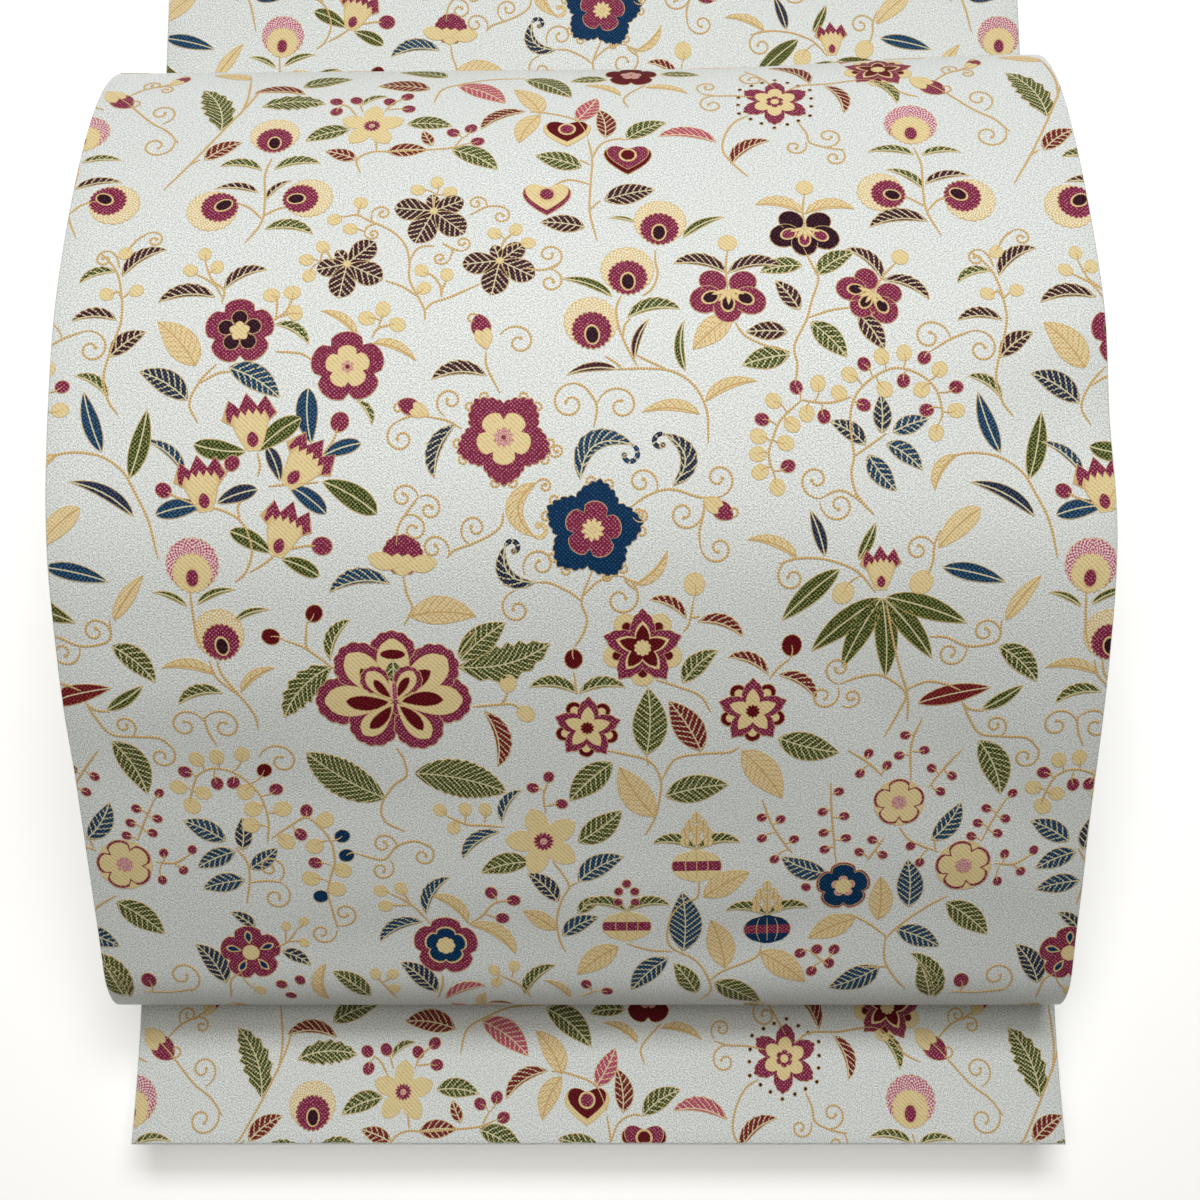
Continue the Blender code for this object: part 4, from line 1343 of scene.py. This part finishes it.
            (-17, 16, -27, 34, -37, 42), (-12, 26, -17, 42), (12, 26, 19, 41, 33, 53), (15, 30, 30, 32),
            (92, -34, 99, -21),
        ),
        "motifs": (
            ("gold_star", "rose", 0, 1, 88, 34), ("half", "green", -23, -5, -158, -51),
            ("half", "green", 38, 3, -5, 50), ("leaf", "red", -12, -54, 158, -38),
            ("leaf", "red", 19, -42, 3, 44), ("leaf", "red", 68, -33, 114, 28),
            ("half", "green", 88, -40, -31, 59), ("comb", "green", -14, 38, 33, 32),
        ),
        "berries": (
            ("rose", 8, -43, 46, -41, 27, -21, 48, 16, 45, 35, 55, 38, 31, 89, -12, 108, -5, 116, -27),
        ),
    },
    "thistles": {
        "stems": (
            (3, 47, -2, 22, 1, -13, 0, -43, -15, -70), (0, -39, -14, -24, -29, -17),
            (1, -35, 13, -27, 23, -23),
        ),
        "motifs": (
            ("thistle", "gold", 2, 84, 95, 27), ("thistle", "gold", -53, -28, -148, 27),
            ("thistle", "gold", 47, -11, 6, 26), ("comb", "green", -6, 28, 172, -46),
            ("comb", "green", 7, 29, 10, 49), ("sickle", "plum", -7, -4, 173, -47),
            ("sickle", "plum", 3, -13, 47, 36), ("comb", "green", 4, -53, -7, 51),
        ),
    },
    "pink_trio": {
        "stems": (
            (-5, 58, 0, 33, -2, 0, -1, -28, 11, -58), (0, -23, -14, -13, -22, -8),
            (-1, -28, 12, -14, 28, -9),
        ),
        "motifs": (
            ("thistle", "pink", -4, 94, 84, 29), ("thistle", "gold", -47, -2, 160, 25),
            ("thistle", "gold", 46, -14, -32, 27), ("sickle", "green", -6, 47, 173, -50),
            ("sickle", "green", 2, 46, 4, 43), ("sickle", "green", -1, 0, 144, -47),
            ("sickle", "plum", 1, 7, 11, 50), ("comb", "plum", -1, -41, -174, -62),
        ),
    },
    "bud_tendrils": {
        "stems": (
            (-47, 47, -29, 30, 1, -4, 23, -21, 37, -40), (-33, 45, -17, 61, 3, 71, 20, 83),
        ),
        "motifs": (
            ("curl", "gold", 31, -30, -62, -17), ("curl", "gold", 15, -8, 24, 15),
            ("bud", "rose", -59, 57, -45, 49), ("curl", "gold", -16, 61, 134, -10),
            ("curl", "gold", -3, 66, 46, -9), ("bud", "rose", 9, 71, 56, 31),
        ),
    },
    "leafy": {
        "stems": (
            (-48, -92, -25, -55, 3, -3, 25, 45, 35, 78), (19, 27, 23, 60, 19, 106), (-25, -55, -15, -48),
        ),
        "motifs": (
            ("fern", "green", 2, -1, 112, -84), ("fern", "green", 41, 41, 4, 70),
            ("comb", "red", 86, 65, 177, -58), ("half", "red", -10, -49, 37, 47),
            ("half", "gold", 19, 106, 159, -49),
        ),
    },
    "crest_row": {
        "stems": (
            (-49, -27, -42, 0, -23, 13, 10, 26, 50, 29), (165, -39, 161, -20, 179, 2, 185, 7),
        ),
        "motifs": (
            ("half", "green", -198, 8, 22, 58), ("half", "red", -55, 1, 172, -60),
            ("half", "green", -38, 34, 157, -62), ("half", "pink", -25, 10, -36, 68),
            ("half", "green", 50, 25, -40, 69), ("half", "green", 143, 23, -173, -42),
            ("half", "green", 203, 39, -7, 45), ("sickle", "gold", 157, -15, 150, -46),
            ("sickle", "gold", 185, 2, -16, 49), ("plum_gold", "red", 170, 36, 89, 30),
            ("star", "red", 449, 26, 81, 40),
        ),
    },
}  # fmt: skip

STALK = 30  # the longest stalk of a berry past its rim, in points


def hang_berry(pens, yarn, radius, middle, cords):
    """An oval berry on a bowed stalk from the nearest place of the spray's cords, unless that is far off."""
    joint = cords[np.argmin(np.abs(cords - middle))]
    reach = joint - middle
    if radius < abs(reach) < radius + STALK:
        share = np.linspace(0, 1, 7)
        ribbon(pens, middle + reach * (share + 0.5j * share * (1 - share)), width=1.9, level=0)
    bloom((at(middle, np.degrees(np.angle(reach))), *pens), yarn, 1, radius, stretch=0.88)


def draw_spray(pens, name):
    """Draws a spray's stems, then its motifs, then its berries."""
    spray = SPRAYS[name]
    cords = np.concatenate([thread(pens, stem) for stem in spray["stems"]])
    for kind, yarn, x, y, degrees, size in spray.get("motifs", ()):
        spot = (pen(x, y, degrees, flip=size < 0), *pens)
        if kind == "curl":
            curl(spot, abs(size))
        elif kind in LEAVES:
            leaf(spot, yarn + "_leaf", 1, kind, abs(size))
        else:
            MOTIFS[kind](spot, yarn, abs(size))
    for yarn, radius, *places in spray.get("berries", ()):
        for x, y in zip(places[::2], places[1::2]):
            hang_berry(pens, yarn, radius, complex(x, y), cords)


# Each yarn's colour, its binding dots' colour, and the figure that the dots form
YARNS = {
    "thread": ((188, 152, 94), (236, 214, 166), "cord"),
    "pale": ((226, 208, 158), (186, 154, 96), "gold"),
    "rose": ((114, 24, 56), (206, 134, 152), "dots"),
    "red": ((82, 4, 14), (132, 44, 50), "dots"),
    "plum": ((34, 6, 20), (96, 54, 70), "dots"),
    "pink": ((226, 186, 176), (154, 48, 90), "stipple"),
    "blue": ((0, 38, 74), (44, 92, 128), "dots"),
    "gold_fan": ((208, 180, 120), (238, 232, 210), "stipple"),
    "pink_fan": ((170, 70, 106), (236, 214, 208), "stipple"),
    "gold_leaf": ((230, 212, 168), (188, 152, 92), "leaf"),
    "green_leaf": ((36, 48, 8), (154, 158, 96), "leaf"),
    "plum_leaf": ((40, 8, 22), (110, 66, 78), "leaf"),
    "red_leaf": ((90, 10, 18), (160, 72, 70), "leaf"),
    "pink_leaf": ((166, 58, 88), (206, 128, 140), "leaf"),
    "blue_leaf": ((2, 40, 74), (76, 112, 138), "leaf"),
    "navy_leaf": ((14, 22, 46), (84, 94, 118), "leaf"),
}
OUTLINE = srgb(208, 178, 122)
VEIN = srgb(222, 212, 172)
VEINED = -1.5  # no vein shows where the vein phase is lower, as PLAIN is


def dots_share(tree, figure, ragged, uneven):
    """How much of a float its dots cover: as slanting lines, stipple, a cord's stripes or diagonal dots."""
    phase, middle = coordinates(tree, "motif")
    if figure == "gold":
        lines = calculate(tree, "ADD", diagonal(tree, 1.5 * MM), uneven)
        return between(tree, lines, 0.0, 1.4, 0.0, 0.65)
    if figure == "stipple":
        dashes = calculate(tree, "MULTIPLY", sine(tree, phase, 0.8), sine(tree, middle, 1.3))
        dashes = calculate(tree, "ADD", dashes, calculate(tree, "MULTIPLY", uneven, 0.8))
        return between(tree, dashes, -0.5, 0.3, 1.0, 0.0)
    if figure == "cord":
        return between(tree, sine(tree, phase, 0.9), -0.2, 0.9, 0.0, 0.7)
    low = -0.1 if figure == "leaf" else 0.25
    return between(tree, ragged, low, low + 0.9, 0.0, 0.85)


def vein_share(tree, ragged, points):
    """How much of a leaf its veins and its midrib cover."""
    phase, middle = coordinates(tree, "motif")
    lines = calculate(tree, "ADD", sine(tree, phase, 2.1), calculate(tree, "MULTIPLY", ragged, 0.35))
    veins = between(tree, lines, 0.55, 1.0, 0.0, 0.85)
    veins = calculate(tree, "MULTIPLY", veins, calculate(tree, "GREATER_THAN", phase, VEINED))
    middle = calculate(tree, "ADD", middle, calculate(tree, "MULTIPLY", points, 0.08))
    return calculate(tree, "MAXIMUM", veins, between(tree, middle, 0.12, 0.26, 0.9, 0.0))


def yarn_material(name, colour, dots, figure):
    """Floats of one yarn: its colour, binding dots in its figure, a leaf's veins, and a gold rim."""
    material, tree, shader = new_material(name + "_yarn")
    points = twill(tree, 1.25 * MM)
    uneven = between(tree, grain(tree, 2200.0), 0.34, 0.66, -1.0, 1.0)
    ragged = calculate(tree, "ADD", points, uneven)
    body = mix(tree, dots_share(tree, figure, ragged, uneven), srgb(*colour), srgb(*dots))
    if figure == "leaf":
        veins = srgb(*dots) if name == "gold_leaf" else VEIN
        body = mix(tree, vein_share(tree, ragged, points), body, veins)
    rim, _ = coordinates(tree, "rim")
    rim = calculate(tree, "ADD", rim, calculate(tree, "MULTIPLY", ragged, 0.09))
    body = mix(tree, between(tree, rim, 0.12, 0.32, 0.9, 0.0), body, OUTLINE)
    finish_cloth(tree, shader, body, ragged, depth=0.04 * MM, roughness=0.6, sheen=0.0, specular=0.08)
    return material


yarn_materials = {name: yarn_material(name, *looks) for name, looks in YARNS.items()}

# Where the sprays stand in the design, in points, with their turn and size in percent (negative mirrors)
DESIGN = (
    ("plums", -282, 1161, 0, 100), ("plum_sprig", -465, 1182, 0, 100), ("lilies", -330, 1017, 0, 100),
    ("bells", -21, 1017, 0, 100), ("blue_blades", 417, 1028, 0, 100), ("bamboo", 299, 918, 0, 100),
    ("red_blades", 395, 801, 0, 100), ("thistle_pair", -377, 866, 0, 100), ("peony", -191, 805, 0, 100),
    ("bell_sprig", -183, 918, 0, 100), ("wreathlet", -346, 649, 0, 100), ("gold_star", -45, 635, 0, 100),
    ("rosette", -155, 507, 0, 100), ("foot_sprigs", -98, 456, 0, 100), ("drop_rosette", -369, 498, 0, 100),
    ("fruits", 122, 565, 0, 100), ("beads_left", 201, 650, 0, 100), ("rosettes", 334, 627, 0, 100),
    ("stars", 78, 779, 0, 100), ("wreath", 279, 1077, 0, 100), ("thistle_row", 61, 1193, 0, 100),
    ("orchids", 225, 1238, 0, 100), ("figs", -154, 1263, 0, 100), ("hearts", 12, 1381, 0, 100),
    ("cosmos", 216, 1484, 0, 100), ("gold_flower", -225, 1451, 0, 100), ("thistles", -331, 1354, 0, 100),
    ("pink_trio", 364, 1349, 0, 100), ("bud_tendrils", -469, 1466, 0, 100), ("leafy", -390, 1447, 0, 100),
    ("crest_row", -111, 1521, 0, 100),
    ("stars", -60, 1700, 180, -70), ("wreathlet", 190, 1670, 100, 80), ("cosmos", 360, 1690, 40, 90),
    ("leafy", -230, 1700, 160, 80), ("plum_sprig", -400, 1720, 10, 80), ("gold_star", 110, 1745, 10, -70),
    ("hearts", -130, 1760, 20, -50), ("gold_flower", 250, 1760, 170, 60),
)  # fmt: skip
ACROSS_REPEAT, ALONG_REPEAT = 897, 1395
REACH = 210  # how far a spray can reach from its place, in points


def weave_design(start, end):
    """Draws the copies of the sprays that come near the stretch from start to end, in metres of design."""
    woven.clear()
    side, low, high = WIDTH / 2 / POINT + REACH, start / POINT - REACH, end / POINT + REACH
    for name, across, along, degrees, percent in DESIGN:
        mirrored = percent < 0
        for i in (-1, 0, 1):
            for j in (-1, 0, 1):
                x, y = across + i * ACROSS_REPEAT, along + j * ALONG_REPEAT
                if abs(x) < side and low < y < high:
                    draw_spray((pen(x, y, degrees + 180 * mirrored, abs(percent) / 100, mirrored),), name)


# How far from the middle the floats reach, their foot and top over the ground's face, how much higher each
# level of the design lies, and how much higher a cord is along its middle column
EDGE = WIDTH / 2 - 0.5 * MM
FLOAT_FOOT, FLOAT_RISE, FLOAT_STEP = -0.12 * MM, 0.1 * MM, 0.022 * MM
CORD_CROWN, CORD_MIDDLE = 0.1 * MM, 2

# The floats of a level rise by a hair in turn, so that no two that cross lie in the same plane
HAIR, HAIRS = 0.0004 * MM, 40
SHARP_ANGLE = 0.7  # between a float's top and its sides, in radians


def floats(name, yarns_used, surface, start, end, shift):
    """One piece of the floats of some yarns, on a stretch's front from start to end of its run.

    shift is how far on in the design the run begins. A quad outside the stretch is left out, and one that
    crosses its edge is drawn in to it.
    """
    points, quads, yarns, count = [], [], [], 0
    uv_maps = {"band": [], "motif": [], "rim": []}
    for index, yarn in enumerate(yarns_used):
        for taken, (level, foot, z, phase, middle, rim) in enumerate(woven.get(yarn, ())):
            x, y = z.real * POINT, z.imag * POINT
            across, along = np.clip(x, -EDGE, EDGE), np.clip(y - shift, start, end)
            top = FLOAT_RISE + level * FLOAT_STEP + taken % HAIRS * HAIR
            if yarn == "thread":
                top = top + CORD_CROWN * (np.arange(z.shape[1]) == CORD_MIDDLE)
            height = RIM + np.where(foot > 0, FLOAT_FOOT, top)
            points.append(np.stack([across, along, height], axis=-1).reshape(-1, 3))
            places = {"band": (across, along + shift), "motif": (phase, middle), "rim": (rim, rim)}
            for label, pair in places.items():
                uv_maps[label].append(np.stack(pair, axis=-1).reshape(-1, 2))
            outside = (np.abs(x) > EDGE) | (y < start + shift) | (y > end + shift)
            corners = grid_quads(np.arange(z.size).reshape(z.shape))
            corners = corners[~outside.ravel()[corners].all(axis=1)]
            quads.append(corners + count)
            yarns.append(np.full(len(corners), index))
            count += z.size
    used, quads = np.unique(np.concatenate(quads), return_inverse=True)
    places = {label: np.concatenate(grids)[used] for label, grids in uv_maps.items()}
    piece = add_mesh(name, surface(*np.concatenate(points)[used].T), quads.reshape(-1, 4), places)
    piece.data.set_sharp_from_angle(angle=SHARP_ANGLE)
    for yarn in yarns_used:
        piece.data.materials.append(yarn_materials[yarn])
    piece.data.polygons.foreach_set("material_index", np.concatenate(yarns))
    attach(piece, "root")
    return piece


LEAF_YARNS = [yarn for yarn in YARNS if yarn.endswith("_leaf")]
YARN_GROUPS = {
    "stems": ["thread"],
    "leaves": LEAF_YARNS,
    "flowers": [yarn for yarn in YARNS if yarn not in LEAF_YARNS and yarn != "thread"],
}


def pattern(name, surface, start, end, shift):
    """The whole pattern of a stretch, as one piece each for its stems, leaves and flowers."""
    weave_design(start + shift, end + shift)
    groups = YARN_GROUPS.items()
    return [floats(f"{name}_{kind}", yarns, surface, start, end, shift) for kind, yarns in groups]


# Each pattern stops short of the seams and of the places where its cloth is out of sight
drum_end, strip_end = drum_length - 2 * MM, strip_length - 12.5 * MM
drum_pattern = pattern("drum", drum_surface, start=36 * MM, end=drum_end, shift=0.0)
tail_pattern = pattern("tail", tail_surface, start=0.6 * MM, end=110 * MM, shift=ALONG_REPEAT * POINT)
strip_pattern = pattern("strip", strip_surface, start=30 * MM, end=strip_end, shift=243 * POINT)

# ---------------------------------------------------------------------------------------------------------
# The table top that the sash lies on, a plain white sheet, with soft light from over its head end and from
# above, and the camera half a metre up.
floor_mesh = bpy.data.meshes.new("table_top")
floor_mesh.from_pydata([(-3, -3, 0), (3, -3, 0), (3, 3, 0), (-3, 3, 0)], [], [(0, 1, 2, 3)])
floor = add_object("table_top", floor_mesh)
paper, _, paper_shader = new_material("white_paper")
paper_shader.inputs["Base Color"].default_value = srgb(250, 250, 250)
paper_shader.inputs["Roughness"].default_value = 0.9
paper_shader.inputs["Emission Color"].default_value = srgb(255, 254, 250)
paper_shader.inputs["Emission Strength"].default_value = 0.3
floor_mesh.materials.append(paper)


def area_light(name, place, aim, size, power, colour):
    """A rectangular lamp at a place, turned towards its aim."""
    data = bpy.data.lights.new(name, "AREA")
    data.shape = "RECTANGLE"
    data.size, data.size_y = size
    data.energy = power
    data.color = colour
    light = add_object(name, data)
    light.location = place
    light.rotation_euler = (Vector(aim) - Vector(place)).to_track_quat("-Z", "Y").to_euler()


COOL, WARM = (0.975, 0.99, 1.0), (1.0, 0.97, 0.91)
area_light("head_light", (0.08, 0.62, 1.1), aim=(0, 0, 0.05), size=(0.8, 0.35), power=9.6, colour=COOL)
area_light("top_light", (-0.05, 0.02, 0.75), aim=(0, -0.03, 0), size=(0.6, 0.3), power=2.15, colour=WARM)
world = bpy.data.worlds.new("studio")
world.use_nodes = True
background = world.node_tree.nodes["Background"]
background.inputs["Color"].default_value = srgb(255, 250, 238)
background.inputs["Strength"].default_value = 0.08
bpy.context.scene.world = world
bpy.context.scene.view_settings.view_transform = "Standard"

lens = bpy.data.cameras.new("eye")
lens.sensor_width = 36.0
lens.lens = 43.5
lens.clip_start = 0.01
camera = add_object("eye", lens)
camera.location = (0.00377, -0.1249, 0.5211)
camera.rotation_euler = (np.radians(7.5), 0, 0)
bpy.context.scene.camera = camera
